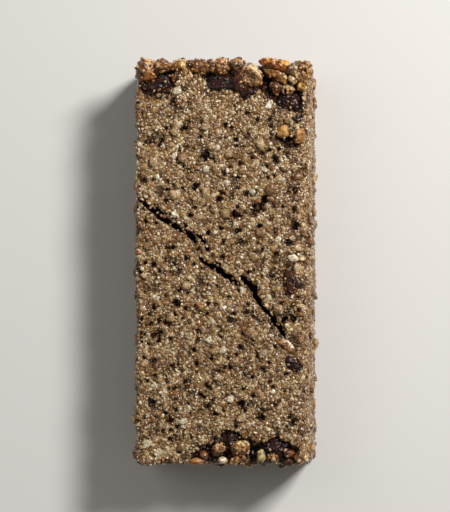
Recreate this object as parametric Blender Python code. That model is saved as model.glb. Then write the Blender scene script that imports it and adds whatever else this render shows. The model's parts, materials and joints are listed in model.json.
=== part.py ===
"""A pressed fruit and nut bar.

The bar is a slab of fine puffed grain set in syrup. Nut pieces, seeds and sticky dried fruit sit in
pockets at both ends and along one long edge, and a crack runs across the top. The three cut sides
are upright, and the fourth, at +X, was pressed against a mould: it leans out, under a round edge.

Units are metres and +Z is up. The bar lies on its flat underside with its length along Y.
"""

import math
import random

import bmesh
import bpy
from mathutils import Euler, Matrix, Vector, noise

MM = 0.001

# Driving dimensions of the slab.
LENGTH = 94.2 * MM
WIDTH = 40.6 * MM
THICKNESS = 21.0 * MM
DRAFT = 1.1 * MM
MOULDED_RADIUS = 3.0 * MM
CUT_RADIUS = 0.7 * MM

# The pieces are placed round a point that is nearer to the slab's top end: this is the slab's own middle.
SLAB_MIDDLE_Y = -0.6 * MM

# Plan radius of each upright corner, by the signs of its X and Y.
CORNER_RADII = {
    (1, 1): 3.6 * MM,
    (-1, 1): 2.0 * MM,
    (1, -1): 1.8 * MM,
    (-1, -1): 1.4 * MM,
}

# The slab's faces are cut into cells of this size, and then pushed in and out.
CELL = 3.7 * MM
LUMP_HEIGHT = 0.6 * MM
LUMP_SPREAD = 7.0 * MM

# Room between a piece and the pocket that it sits in.
GAP = 0.35 * MM

# The largest puffed grains, which stand out of the slab.
GRAIN_SIZES = (2.4 * MM, 2.1 * MM, 1.8 * MM)
GRAINS_OF_A_SIZE = 34
GRAIN_SPACING = 4.6 * MM
GRAIN_SHOWING = 0.45
GRAIN_SEED = 11

# Grains this near to the top keep clear of the hollows and pieces there.
TOP_LAYER = 5.0 * MM

# Crack: points along the top in millimetres, each with the width of the gap there.
CRACK_UPPER = (
    (-22.0, 16.0, 0.5),
    (-19.0, 14.2, 0.7),
    (-16.4, 12.0, 0.9),
    (-14.6, 10.4, 1.3),
    (-12.2, 9.2, 1.3),
    (-10.2, 7.5, 1.0),
    (-8.0, 6.7, 0.9),
    (-6.6, 4.6, 1.4),
    (-5.0, 2.6, 1.3),
    (-3.6, -0.2, 1.3),
    (-1.2, -1.5, 1.2),
    (0.9, -3.2, 1.2),
    (3.6, -5.6, 0.4),
)
CRACK_LOWER = (
    (3.0, -2.6, 0.4),
    (4.9, -3.9, 1.3),
    (6.6, -5.6, 1.5),
    (7.5, -7.7, 1.4),
    (8.8, -9.8, 1.3),
    (10.6, -11.8, 1.2),
    (13.2, -15.0, 1.2),
    (14.6, -17.3, 1.1),
    (17.0, -18.6, 0.5),
)
CRACK_BRANCH = (
    (12.9, -15.2, 0.5),
    (14.2, -14.1, 0.9),
    (15.8, -13.8, 1.0),
    (17.8, -15.0, 0.4),
)
CRACK_DEPTH = 7.0 * MM

# Broken-out hollows: middle X and Y, half length, half width, depth, and turn in degrees.
HOLLOWS = (
    (-16.0, 45.0, 6.4, 6.2, 4.2, 0),
    (-6.0, 48.0, 6.5, 4.6, 4.2, 0),
    (0.8, 46.4, 7.4, 6.8, 4.4, 0),
    (6.4, 45.4, 6.6, 7.0, 4.6, 0),
    (13.8, 41.2, 7.0, 4.2, 4.0, -46),
    (-1.5, -46.6, 8.0, 4.8, 4.2, 12),
    (6.0, -46.0, 6.5, 4.6, 4.2, 0),
    (13.4, -45.6, 4.8, 4.4, 3.6, -6),
    (15.4, 28.4, 3.6, 1.6, 2.4, -22),
    (2.0, -41.6, 3.4, 2.3, 1.9, 0),
)

# Pits that are as wide as a large grain: X, Y and width in millimetres.
PITS = (
    (-3.9, 25.0, 2.4),
    (12.6, 23.9, 2.0),
    (8.2, 12.8, 2.4),
    (9.9, 14.4, 2.2),
    (3.0, 11.0, 2.0),
    (-10.8, -9.5, 1.9),
    (-15.2, -16.9, 2.0),
    (-16.8, -33.1, 2.2),
    (-12.5, -37.1, 1.9),
    (4.4, -33.6, 2.3),
    (9.1, -36.6, 1.9),
    (17.2, 8.5, 2.2),
    (15.4, 4.6, 1.9),
    (-6.4, 17.7, 2.0),
)
PIT_DEPTH = 1.6 * MM

# Separate pieces, in millimetres: shape, name, middle X and Y, (length, width, height), how far the
# top stands above the slab's face, and turn about Z with tilt about the piece's own length.
NUTS = (
    ("chunk", "nut_top_left", -17.9, 44.9, (6.2, 5.0, 5.4), 0.7, 72, 0),
    ("chunk", "nut_top_golden", -10.1, 46.2, (4.2, 3.2, 4.4), 0.5, 10, 0),
    ("chunk", "nut_top_brown", -5.1, 45.9, (5.0, 4.2, 4.8), 0.2, -15, 0),
    ("chunk", "nut_top_middle", -0.2, 45.9, (4.6, 4.2, 4.6), 0.3, 25, 0),
    ("half", "half_nut", 7.0, 44.1, (6.0, 5.6, 5.4), 0.6, -35, 24),
    ("peel", "candied_peel", 12.5, 46.5, (8.2, 3.3, 3.4), 0.5, -13, 0),
    ("sliver", "almond_sliver_top", 13.0, 44.2, (6.4, 3.0, 3.6), 0.4, -30, 0),
    ("chunk", "nut_top_round", 12.7, 41.4, (4.0, 2.6, 3.8), -0.2, 85, 0),
    ("seed", "seed_top_pale", 16.6, 42.8, (2.5, 2.0, 2.6), 0.1, -30, 0),
    ("seed", "seed_top_yellow", 18.8, 41.1, (2.5, 2.3, 2.4), 0.2, 0, 0),
    ("chunk", "nut_edge_inner", 14.4, 30.9, (4.2, 3.7, 3.2), 0.4, 60, 0),
    ("chunk", "nut_edge_outer", 18.2, 29.8, (4.4, 3.2, 3.2), 0.2, 85, 0),
    ("seed", "seed_edge", 17.6, 20.2, (3.0, 2.6, 2.6), 0.3, 15, 0),
    ("chunk", "nut_edge_pale", 16.7, 0.9, (3.0, 2.3, 2.2), 0.5, 0, 0),
    ("sliver", "almond_sliver_crack", 15.2, -19.5, (6.4, 2.8, 3.2), 0.5, -41, 0),
    ("chunk", "nut_bottom_left", -1.0, -44.0, (3.9, 3.4, 3.8), -0.2, 40, 0),
    ("chunk", "nut_bottom_big", 4.1, -43.8, (5.0, 3.9, 4.2), 0.2, 12, 0),
    ("seed", "seed_bottom_orange", -6.0, -47.0, (3.8, 2.0, 2.2), -0.5, 4, 0),
    ("seed", "seed_bottom_amber", -4.3, -45.5, (2.2, 2.0, 2.6), -0.3, -20, 0),
    ("seed", "seed_bottom_pale", 0.1, -46.7, (2.5, 1.8, 2.4), -0.9, -5, 0),
    ("chunk", "nut_bottom_pebble", 3.0, -46.8, (2.8, 1.7, 2.4), -0.8, 8, 0),
    ("seed", "seed_bottom_green", 9.2, -45.7, (3.4, 2.3, 3.0), 0.1, 86, 0),
    ("seed", "seed_bottom_red", 15.7, -44.9, (3.0, 2.2, 2.2), -0.4, -12, 0),
)
FRUITS = (
    ("fruit", "fruit_top_left", -15.0, 41.8, (10.2, 4.4, 4.0), -1.1, 8, 0),
    ("fruit", "fruit_top_middle", 1.6, 41.6, (14.6, 4.8, 4.2), -1.0, -5, 0),
    ("fruit", "fruit_top_right", 16.1, 37.5, (7.4, 4.6, 3.8), -1.0, -50, 0),
    ("fruit", "fruit_edge", 16.0, -4.5, (8.4, 4.4, 3.4), 0.5, 96, 0),
    ("fruit", "fruit_crack", 16.6, -23.9, (6.4, 3.8, 3.0), 0.2, -48, 0),
    ("fruit", "fruit_bottom_middle", 1.9, -41.4, (4.8, 3.4, 3.2), -0.3, 5, 0),
    ("fruit", "fruit_bottom_right", 12.8, -43.5, (8.4, 5.0, 3.4), -0.9, -10, 0),
)

COLOURS = {
    # name: base colour and roughness
    "pressed_grain": ((0.22, 0.13, 0.062), 0.55),
    "roasted_nut": ((0.27, 0.125, 0.045), 0.45),
    "pale_nut": ((0.48, 0.36, 0.19), 0.40),
    "amber_seed": ((0.36, 0.14, 0.03), 0.35),
    "candied_orange": ((0.46, 0.16, 0.025), 0.30),
    "dark_fruit": ((0.030, 0.009, 0.006), 0.22),
}
PALE = ("almond_sliver_top", "almond_sliver_crack", "nut_edge_pale", "seed_top_pale", "seed_bottom_pale")


def clear_scene():
    """Empties the startup scene."""
    for obj in list(bpy.data.objects):
        bpy.data.objects.remove(obj)


def new_collection(name):
    """A collection linked to the scene."""
    collection = bpy.data.collections.new(name)
    bpy.context.scene.collection.children.link(collection)
    return collection


def material(name):
    """A Principled material with the colour and roughness of one ingredient."""
    known = bpy.data.materials.get(name)
    if known:
        return known
    colour, roughness = COLOURS[name]
    made = bpy.data.materials.new(name)
    made.use_nodes = True
    shader = made.node_tree.nodes["Principled BSDF"]
    shader.inputs["Base Color"].default_value = (*colour, 1.0)
    shader.inputs["Roughness"].default_value = roughness
    shader.inputs["Metallic"].default_value = 0.0
    return made


def object_from(bm, name, collection):
    """A mesh object made from a bmesh, which is freed."""
    mesh = bpy.data.meshes.new(name)
    bm.to_mesh(mesh)
    bm.free()
    obj = bpy.data.objects.new(name, mesh)
    collection.objects.link(obj)
    return obj


def lump(point, spread, offset=0.0):
    """Smooth noise from about -1 to 1 at a point."""
    return noise.fractal(point / spread + Vector((offset, offset, offset)), 1.0, 2.0, 2)


# Slab


def stops(half, near):
    """Where the slab is divided along one axis: even cells, and a line near each end for its edge."""
    count = round(2 * half / CELL)
    inner = [-half + 2 * half * i / count for i in range(1, count)]
    return sorted([-half + near, half - near] + inner)


def round_edge(co, a, b, signs, halves, radius):
    """Moves a point of a box near the edge between its faces across axes a and b onto a round edge."""
    along_a = signs[0] * co[a] - (halves[0] - radius)
    along_b = signs[1] * co[b] - (halves[1] - radius)
    if along_a <= 0 or along_b <= 0:
        return
    reach = max(along_a, along_b)
    if along_a < along_b:
        angle = math.pi / 4 * along_a / along_b
    else:
        angle = math.pi / 2 - math.pi / 4 * along_b / along_a
    co[a] = signs[0] * (halves[0] - radius + reach * math.sin(angle))
    co[b] = signs[1] * (halves[1] - radius + reach * math.cos(angle))


def shape_slab_point(co):
    """Gives one point of the plain box its round edges, and the moulded side its lean."""
    half_x, half_y, half_z = WIDTH / 2, LENGTH / 2, THICKNESS / 2
    upright = co.z - half_z
    rounded = Vector((co.x, co.y, upright))
    round_edge(rounded, 0, 2, (1, 1), (half_x, half_z), MOULDED_RADIUS)
    round_edge(rounded, 0, 2, (-1, 1), (half_x, half_z), CUT_RADIUS)
    for sign in (1, -1):
        round_edge(rounded, 1, 2, (sign, 1), (half_y, half_z), CUT_RADIUS)
    for (sign_x, sign_y), radius in CORNER_RADII.items():
        round_edge(rounded, 0, 1, (sign_x, sign_y), (half_x, half_y), radius)
    height = rounded.z + half_z
    if rounded.x > 0:
        rounded.x += DRAFT * (1 - height / THICKNESS) * (rounded.x / half_x) ** 2
    return Vector((rounded.x, rounded.y, height))


def make_slab(collection):
    """The slab with nothing cut from it or stuck to it: uneven faces over a flat underside."""
    bpy.ops.mesh.primitive_cube_add(size=1, location=(0, 0, 0))
    slab = bpy.context.object
    slab.name = slab.data.name = "pressed_block"
    for other in list(slab.users_collection):
        other.objects.unlink(slab)
    collection.objects.link(slab)
    bm = bmesh.new()
    bm.from_mesh(slab.data)
    stretch = Matrix.Diagonal((WIDTH, LENGTH, THICKNESS, 1))
    bmesh.ops.transform(bm, matrix=Matrix.Translation((0, 0, THICKNESS / 2)) @ stretch, verts=bm.verts)
    for axis, half, middle, near in (
        (0, WIDTH / 2, 0, MOULDED_RADIUS / 2),
        (1, LENGTH / 2, 0, CUT_RADIUS),
        (2, THICKNESS / 2, THICKNESS / 2, CUT_RADIUS),
    ):
        normal = Vector((axis == 0, axis == 1, axis == 2))
        for stop in stops(half, near):
            everything = bm.verts[:] + bm.edges[:] + bm.faces[:]
            bmesh.ops.bisect_plane(bm, geom=everything, plane_co=normal * (stop + middle), plane_no=normal)
    underside = [f for f in bm.faces if f.calc_center_median().z < 0.01 * MM]
    bmesh.ops.dissolve_faces(bm, faces=underside)
    on_floor = {v for v in bm.verts if v.co.z < 0.01 * MM}
    for vert in bm.verts:
        vert.co = shape_slab_point(vert.co) + Vector((0, SLAB_MIDDLE_Y, 0))
    bm.normal_update()
    for vert in bm.verts:
        push = LUMP_HEIGHT * lump(vert.co, LUMP_SPREAD)
        away = Vector((vert.normal.x, vert.normal.y, 0)) if vert in on_floor else vert.normal
        vert.co += away * push
    bmesh.ops.triangulate(bm, faces=[f for f in bm.faces if f not in underside and len(f.verts) == 4])
    bmesh.ops.recalc_face_normals(bm, faces=bm.faces)
    bm.to_mesh(slab.data)
    bm.free()
    return slab


# Loose shapes


def ball(detail):
    """A unit ball in a new bmesh: 80 faces for detail 2."""
    bm = bmesh.new()
    bmesh.ops.create_icosphere(bm, subdivisions=detail, radius=1.0)
    return bm


def chunk(number):
    """A chopped piece of nut: a lumpy ball with flat broken faces."""
    bm = ball(2)
    draw = random.Random(number)
    cuts = []
    for _ in range(6):
        around, up = draw.uniform(0, math.tau), draw.uniform(-0.8, 0.8)
        level = math.sqrt(1 - up * up)
        direction = Vector((level * math.cos(around), level * math.sin(around), up))
        cuts.append((direction, draw.uniform(0.72, 0.9)))
    for vert in bm.verts:
        vert.co *= 1 + 0.16 * lump(vert.co, 0.9, number)
        for direction, reach in cuts:
            beyond = vert.co.dot(direction) - reach
            if beyond > 0:
                vert.co -= direction * beyond * 0.85
    return bm


def half(number):
    """Half a round nut: a dome under a flat, slightly dished face with a rim."""
    bm = ball(2)
    for vert in bm.verts:
        vert.co.z = min(vert.co.z, 0.22)
        middle = math.hypot(vert.co.x, vert.co.y)
        if vert.co.z > 0.2 and middle < 0.6:
            vert.co.z -= 0.18 * (1 - middle / 0.6)
        vert.co *= 1 + 0.06 * lump(vert.co, 0.8, number)
    return bm


def seed(number):
    """A seed: a smooth ball that narrows towards one end."""
    bm = ball(2)
    for vert in bm.verts:
        narrow = 1 - 0.28 * (vert.co.x + 1) / 2
        vert.co.y *= narrow
        vert.co.z *= narrow
        vert.co *= 1 + 0.05 * lump(vert.co, 1.1, number)
    return bm


def sliver(number):
    """A split almond stood on edge: a flat lens that bends along its length."""
    bm = ball(2)
    for vert in bm.verts:
        vert.co.y += 0.55 * (0.5 - vert.co.x * vert.co.x)
        vert.co.z *= 1 - 0.25 * vert.co.x * vert.co.x
        vert.co *= 1 + 0.07 * lump(vert.co, 0.7, number)
    return bm


def peel(number):
    """A strip of candied peel with two lobes and a waist between them."""
    bm = ball(2)
    for vert in bm.verts:
        waist = 1 - 0.30 * math.exp(-((vert.co.x + 0.1) / 0.28) ** 2)
        taper = 1 + 0.25 * vert.co.x
        vert.co.y *= waist * taper
        vert.co.z *= waist
        vert.co *= 1 + 0.12 * lump(vert.co, 0.6, number)
    return bm


def fruit(number):
    """A piece of sticky dried fruit: a flattened ball with soft folds along it."""
    bm = ball(2)
    for vert in bm.verts:
        fold = 0.10 * math.sin(5.0 * vert.co.y + 2.0 * vert.co.x + number)
        vert.co *= 1 + fold + 0.10 * lump(vert.co, 0.6, number)
    return bm


SHAPES = {"chunk": chunk, "half": half, "seed": seed, "sliver": sliver, "peel": peel, "fruit": fruit}


def fit_to_size(bm, size):
    """Scales a shape so that its box has this length, width and height, with its middle at zero."""
    low = Vector([min(v.co[i] for v in bm.verts) for i in range(3)])
    high = Vector([max(v.co[i] for v in bm.verts) for i in range(3)])
    for vert in bm.verts:
        for i in range(3):
            vert.co[i] = ((vert.co[i] - low[i]) / (high[i] - low[i]) - 0.5) * size[i] * MM


def make_piece(row, number, collection):
    """One nut, seed or fruit, placed by its location and rotation."""
    shape, name, x, y, size, above, turn, tilt = row
    bm = SHAPES[shape](number)
    fit_to_size(bm, size)
    piece = object_from(bm, name, collection)
    piece.location = (x * MM, y * MM, THICKNESS + (above - size[2] / 2) * MM)
    piece.rotation_euler = Euler((math.radians(tilt), 0, math.radians(turn)))
    if shape == "fruit":
        finish = "dark_fruit"
    elif shape == "peel":
        finish = "candied_orange"
    elif name in PALE:
        finish = "pale_nut"
    elif shape == "seed":
        finish = "amber_seed"
    else:
        finish = "roasted_nut"
    piece.data.materials.append(material(finish))
    return piece


# Cutters


def grown_copy(piece, collection, by=GAP):
    """A copy of a piece that is larger by the gap all over, to cut its pocket."""
    bm = bmesh.new()
    bm.from_mesh(piece.data)
    bm.normal_update()
    moves = [(vert, vert.normal * by * 1.15) for vert in bm.verts]
    for vert, move in moves:
        vert.co += move
    cutter = object_from(bm, piece.name + "_pocket", collection)
    cutter.matrix_world = piece.matrix_world.copy()
    return as_cutter(cutter)


def as_cutter(obj):
    """Marks a helper that isn't part of the bar."""
    obj.hide_render = True
    obj.display_type = "WIRE"
    return obj


def hollow_cutter(row, number, collection):
    """A broken-out hollow: a lumpy bowl, as deep as stated below the top."""
    x, y, half_length, half_width, depth, turn = row
    bm = ball(2)
    for vert in bm.verts:
        vert.co *= 1 + 0.13 * lump(vert.co, 0.5, number)
        vert.co = Vector((vert.co.x * half_length, vert.co.y * half_width, vert.co.z * depth)) * MM
    cutter = object_from(bm, f"hollow_{number}", collection)
    cutter.location = (x * MM, y * MM, THICKNESS)
    cutter.rotation_euler = (0, 0, math.radians(turn))
    return as_cutter(cutter)


def pit_cutter(row, number, collection):
    """A pit where a grain has fallen out."""
    x, y, width = row
    bm = ball(1)
    bmesh.ops.scale(bm, vec=(width * MM / 2, width * MM / 2, PIT_DEPTH), verts=bm.verts)
    cutter = object_from(bm, f"pit_{number}", collection)
    cutter.location = (x * MM, y * MM, THICKNESS)
    cutter.rotation_euler = (0, 0, number)
    return as_cutter(cutter)


def crack_cutter(route, name, collection):
    """A crack as an upright prism: a flat outline along both sides of the route, extruded."""
    points = [Vector((x, y)) * MM for x, y, _ in route]
    widths = [width * MM for _, _, width in route]
    left, right = [], []
    for i, point in enumerate(points):
        before, after = points[max(i - 1, 0)], points[min(i + 1, len(points) - 1)]
        along = (after - before).normalized()
        across = Vector((-along.y, along.x)) * widths[i] / 2
        left.append(point + across)
        right.append(point - across)
    outline = left + right[::-1]
    curve = bpy.data.curves.new(name, "CURVE")
    curve.dimensions = "2D"
    curve.fill_mode = "BOTH"
    curve.extrude = CRACK_DEPTH
    spline = curve.splines.new("POLY")
    spline.points.add(len(outline) - 1)
    for spot, point in zip(spline.points, outline):
        spot.co = (point.x, point.y, 0, 1)
    spline.use_cyclic_u = True
    guide = bpy.data.objects.new(name, curve)
    collection.objects.link(guide)
    guide.location = (0, 0, THICKNESS)
    bpy.context.view_layer.update()
    solid = guide.evaluated_get(bpy.context.evaluated_depsgraph_get())
    bm = bmesh.new()
    bm.from_mesh(bpy.data.meshes.new_from_object(solid))
    place = guide.matrix_world.copy()
    bpy.data.objects.remove(guide)
    bmesh.ops.remove_doubles(bm, verts=bm.verts, dist=0.001 * MM)
    bmesh.ops.recalc_face_normals(bm, faces=bm.faces)
    cutter = object_from(bm, name, collection)
    cutter.matrix_world = place
    return as_cutter(cutter)


# Puffed grains that stand out of the slab


def face_frames():
    """For the top and four sides: a corner, the two directions along the face, and their lengths."""
    half_x = WIDTH / 2
    low_y, high_y = SLAB_MIDDLE_Y - LENGTH / 2, SLAB_MIDDLE_Y + LENGTH / 2
    edge = 1.5 * MM
    tall = THICKNESS - 2 * edge
    top_x, top_y = WIDTH - MOULDED_RADIUS, LENGTH - 2 * edge
    along_x, along_y, up = Vector((1, 0, 0)), Vector((0, 1, 0)), Vector((0, 0, 1))
    return (
        (Vector((-half_x + edge, low_y + edge, THICKNESS)), along_x, along_y, top_x, top_y, up),
        (Vector((half_x, low_y + edge, edge)), along_y, up, top_y, tall, along_x),
        (Vector((-half_x, low_y + edge, edge)), along_y, up, top_y, tall, -along_x),
        (Vector((-half_x + edge, high_y, edge)), along_x, up, WIDTH - 2 * edge, tall, along_y),
        (Vector((-half_x + edge, low_y, edge)), along_x, up, WIDTH - 2 * edge, tall, -along_y),
    )


def in_a_hollow(point):
    """True for a point that lies over a hollow or its rim."""
    for x, y, half_length, half_width, _, turn in HOLLOWS:
        away = Vector((point.x / MM - x, point.y / MM - y))
        away.rotate(Matrix.Rotation(-math.radians(turn), 2))
        if math.hypot(away.x / half_length, away.y / half_width) < 1.25:
            return True
    return False


def near_a_piece(point, spare):
    """True for a point that is close to a nut, fruit, pit or the crack in plan."""
    for _, _, x, y, size, _, _, _ in NUTS + FRUITS:
        if math.hypot(point.x - x * MM, point.y - y * MM) < size[0] / 2 * MM + spare:
            return True
    for x, y, width in PITS + CRACK_UPPER + CRACK_LOWER + CRACK_BRANCH:
        if math.hypot(point.x - x * MM, point.y - y * MM) < width / 2 * MM + spare:
            return True
    return False


def grain_sites():
    """Spread sites for the largest grains, largest first: a point, its outward direction and a size."""
    draw = random.Random(GRAIN_SEED)
    faces = face_frames()
    areas = [frame[3] * frame[4] for frame in faces]
    sites = []
    for size in GRAIN_SIZES:
        wanted = len(sites) + GRAINS_OF_A_SIZE
        while len(sites) < wanted:
            corner, first, second, wide, high, outward = draw.choices(faces, areas)[0]
            point = corner + first * draw.uniform(0, wide) + second * draw.uniform(0, high)
            if point.z > THICKNESS - TOP_LAYER:
                if in_a_hollow(point) or near_a_piece(point, size / 2 + GAP):
                    continue
            if all((point - other).length > GRAIN_SPACING for other, _, _ in sites):
                sites.append((point, outward, size))
    return sites


# Grains stuck on by syrup: a point on the slab and the outward direction, then length and width.
STUCK_GRAINS = (
    ((WIDTH / 2, 19.6 * MM, 5.0 * MM), (1, 0, 0), 3.4, 1.9),
    ((-WIDTH / 2, -28.9 * MM, 18.6 * MM), (-1, 0, 0), 2.0, 1.8),
    ((-WIDTH / 2, -45.2 * MM, 17.4 * MM), (-1, 0, 0), 3.0, 1.7),
    ((16.2 * MM, 45.2 * MM, THICKNESS), (0, 0, 1), 2.8, 2.2),
    ((18.9 * MM, 45.0 * MM, THICKNESS), (0, 0, 1), 2.4, 2.0),
    ((19.5 * MM, 43.6 * MM, THICKNESS), (0, 0, 1), 2.2, 1.9),
    ((19.0 * MM, -45.4 * MM, THICKNESS), (0, 0, 1), 2.2, 1.8),
)


def place_grain(slab, point, outward, size, stretch, number, collection):
    """One grain, sunk in the slab's real surface below a point, with only part of it showing."""
    hit, spot, _, _ = slab.ray_cast(point + outward * 5 * MM, -outward, distance=20 * MM)
    if not hit:
        return
    bm = ball(1)
    draw = random.Random(number)
    scale = [size / 2 * draw.uniform(0.88, 1.1) for _ in range(3)]
    bmesh.ops.scale(bm, vec=scale, verts=bm.verts)
    turn = Euler([draw.uniform(0, math.tau) for _ in range(3)]).to_matrix()
    bmesh.ops.rotate(bm, matrix=turn, verts=bm.verts)
    bmesh.ops.scale(bm, vec=(1, stretch, 1), verts=bm.verts)
    grain = object_from(bm, f"grain_{number}", collection)
    sunk = size / 2 * (1 - 2 * GRAIN_SHOWING)
    grain.location = spot - outward * sunk
    as_cutter(grain)


def add_grains(slab, collection):
    """All the grains that stand out, as loose objects in a collection."""
    sites = [(point, outward, size, 1.0) for point, outward, size in grain_sites()]
    for point, outward, length, width in STUCK_GRAINS:
        sites.append((Vector(point), Vector(outward), width * MM, length / width))
    for number, (point, outward, size, stretch) in enumerate(sites):
        place_grain(slab, point, outward, size, stretch, number, collection)


# Joining and cutting


def boolean(target, collection, operation):
    """Applies one Boolean of a whole collection to an object, and removes the collection's objects."""
    modifier = target.modifiers.new(operation.lower(), "BOOLEAN")
    modifier.operation = operation
    modifier.operand_type = "COLLECTION"
    modifier.collection = collection
    bpy.context.view_layer.update()
    result = target.evaluated_get(bpy.context.evaluated_depsgraph_get())
    mesh = bpy.data.meshes.new_from_object(result)
    target.modifiers.clear()
    target.data = mesh
    for obj in list(collection.objects):
        bpy.data.objects.remove(obj)


def keep_largest_body(obj):
    """Drops the loose scraps that a cut leaves."""
    bm = bmesh.new()
    bm.from_mesh(obj.data)
    bmesh.ops.remove_doubles(bm, verts=bm.verts, dist=0.002 * MM)
    unseen = set(bm.verts)
    bodies = []
    while unseen:
        body, reached = set(), [unseen.pop()]
        while reached:
            vert = reached.pop()
            body.add(vert)
            for edge in vert.link_edges:
                other = edge.other_vert(vert)
                if other in unseen:
                    unseen.remove(other)
                    reached.append(other)
        bodies.append(body)
    largest = max(bodies, key=len)
    scraps = [vert for body in bodies if body is not largest for vert in body]
    bmesh.ops.delete(bm, geom=scraps, context="VERTS")
    bmesh.ops.triangulate(bm, faces=[f for f in bm.faces if len(f.verts) > 4])
    bm.to_mesh(obj.data)
    bm.free()


def near(first, second):
    """True where two pieces are close enough to touch."""
    reach = max(first.dimensions) / 2 + max(second.dimensions) / 2 + GAP
    return (first.location - second.location).length < reach


def clear_of(piece, others, cutters):
    """Cuts a piece back from its neighbours, so that a gap is left between them."""
    close = [other for other in others if near(piece, other)]
    if not close:
        return
    for other in close:
        grown_copy(other, cutters)
    place = piece.matrix_world.copy()
    for cutter in cutters.objects:
        cutter.matrix_world = place.inverted() @ cutter.matrix_world
    piece.matrix_world = Matrix.Identity(4)
    boolean(piece, cutters, "DIFFERENCE")
    piece.matrix_world = place
    keep_largest_body(piece)


def centre_on_origin(objects):
    """Moves the whole bar sideways, so that the middle of its box is over the origin."""
    bpy.context.view_layer.update()
    points = [obj.matrix_world @ vert.co for obj in objects for vert in obj.data.vertices]
    middle = [(min(p[i] for p in points) + max(p[i] for p in points)) / 2 for i in range(2)]
    for obj in objects:
        obj.location -= Vector((*middle, 0))


def main():
    clear_scene()
    bar = new_collection("fruit_and_nut_bar")
    cutters = new_collection("cutters")
    grains = new_collection("grains")

    slab = make_slab(bar)
    slab.data.materials.append(material("pressed_grain"))
    bpy.context.view_layer.update()
    add_grains(slab, grains)
    boolean(slab, grains, "UNION")

    pieces = []
    for number, row in enumerate(NUTS + FRUITS):
        piece = make_piece(row, number, bar)
        bpy.context.view_layer.update()
        clear_of(piece, pieces, cutters)
        pieces.append(piece)

    for piece in pieces:
        grown_copy(piece, cutters)
    for number, row in enumerate(HOLLOWS):
        hollow_cutter(row, number, cutters)
    for number, row in enumerate(PITS):
        pit_cutter(row, number, cutters)
    crack_cutter(CRACK_UPPER, "crack_upper", cutters)
    crack_cutter(CRACK_LOWER, "crack_lower", cutters)
    crack_cutter(CRACK_BRANCH, "crack_branch", cutters)
    boolean(slab, cutters, "DIFFERENCE")
    keep_largest_body(slab)
    centre_on_origin([slab] + pieces)

    for collection in (cutters, grains):
        bpy.data.collections.remove(collection)


main()
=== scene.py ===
# %% [markdown]
# # A pressed fruit and nut bar
#
# This lesson dresses the solids of a snack bar. The real one is made in a tray: puffed grain is
# stirred into hot syrup with nuts, seeds and dried fruit, pressed flat, and cut when it is cold.
# The solids give its true size and the place of every nut. Here each one gets the surface that
# the eye expects: thousands of small grains, wet dark gaps, and glossy nuts.

# %% Load the solids
import json
import math
import random

import bpy
import numpy as np
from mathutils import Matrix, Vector, noise
from mathutils.bvhtree import BVHTree

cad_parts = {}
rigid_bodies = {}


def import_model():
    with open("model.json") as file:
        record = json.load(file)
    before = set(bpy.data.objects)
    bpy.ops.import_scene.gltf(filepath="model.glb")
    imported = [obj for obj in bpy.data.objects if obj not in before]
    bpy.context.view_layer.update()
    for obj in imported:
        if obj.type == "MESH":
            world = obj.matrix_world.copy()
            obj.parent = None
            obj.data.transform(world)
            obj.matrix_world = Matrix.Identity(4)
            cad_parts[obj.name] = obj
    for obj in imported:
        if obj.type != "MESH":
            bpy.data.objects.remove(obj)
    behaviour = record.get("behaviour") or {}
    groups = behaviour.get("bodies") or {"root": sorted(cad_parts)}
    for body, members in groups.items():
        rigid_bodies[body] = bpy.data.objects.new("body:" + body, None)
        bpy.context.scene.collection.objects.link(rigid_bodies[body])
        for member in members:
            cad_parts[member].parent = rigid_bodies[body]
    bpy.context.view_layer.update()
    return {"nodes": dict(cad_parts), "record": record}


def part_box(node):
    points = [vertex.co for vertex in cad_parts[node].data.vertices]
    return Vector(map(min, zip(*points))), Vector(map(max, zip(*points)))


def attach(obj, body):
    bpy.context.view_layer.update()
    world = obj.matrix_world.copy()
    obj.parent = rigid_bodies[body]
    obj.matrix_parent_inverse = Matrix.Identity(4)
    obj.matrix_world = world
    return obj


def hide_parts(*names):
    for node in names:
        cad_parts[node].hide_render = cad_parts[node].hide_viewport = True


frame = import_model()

MM = 0.001

# %% [markdown]
# The solids were shaped round one point and then moved sideways, so that the bar's middle is over
# the origin. The places below are given round the first point. One seed whose place is known in
# both tells how far everything moved.

# %% Find the sideways shift, and list the nuts
KNOWN_SEED = ("seed_top_yellow", 18.8, 41.1)
SLOTS = {row["node"]: row["material_slot"] for row in frame["record"]["subparts"]}
PIECES = [node for node in SLOTS if node != "pressed_block"]


def shift_of_solids():
    """How far the solids were moved sideways, from the middle of one seed's box."""
    name, x, y = KNOWN_SEED
    low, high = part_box(name)
    middle = (low + high) / 2
    return Vector((middle.x - x * MM, middle.y - y * MM, 0))


SHIFT = shift_of_solids()
print("shift:", [round(v / MM, 2) for v in SHIFT], "mm, and", len(PIECES), "nuts, seeds and fruits")

# %% [markdown]
# A few small helpers are used at every step. Blender's operators act on whatever is selected, so
# `only` selects one thing and nothing else. `edit_all` uses an operator of edit mode on a whole
# mesh. `place_done` moves an object's place into its mesh, and leaves the object itself at the
# origin. `hand_over` gives a finished piece its material and hides the solids that it stands for.

# %% Helpers: objects


def only(obj):
    """Selects one object and nothing else, and makes it active."""
    bpy.ops.object.select_all(action="DESELECT")
    obj.select_set(True)
    bpy.context.view_layer.objects.active = obj


def in_scene(name, data):
    """A new object in the scene, for a mesh, a light or a camera."""
    obj = bpy.data.objects.new(name, data)
    bpy.context.scene.collection.objects.link(obj)
    return obj


def edit_all(obj, operator, **settings):
    """Runs one of the mesh operators on all of an object, in edit mode."""
    only(obj)
    bpy.ops.object.mode_set(mode="EDIT")
    bpy.ops.mesh.select_all(action="SELECT")
    operator(**settings)
    bpy.ops.object.mode_set(mode="OBJECT")


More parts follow.
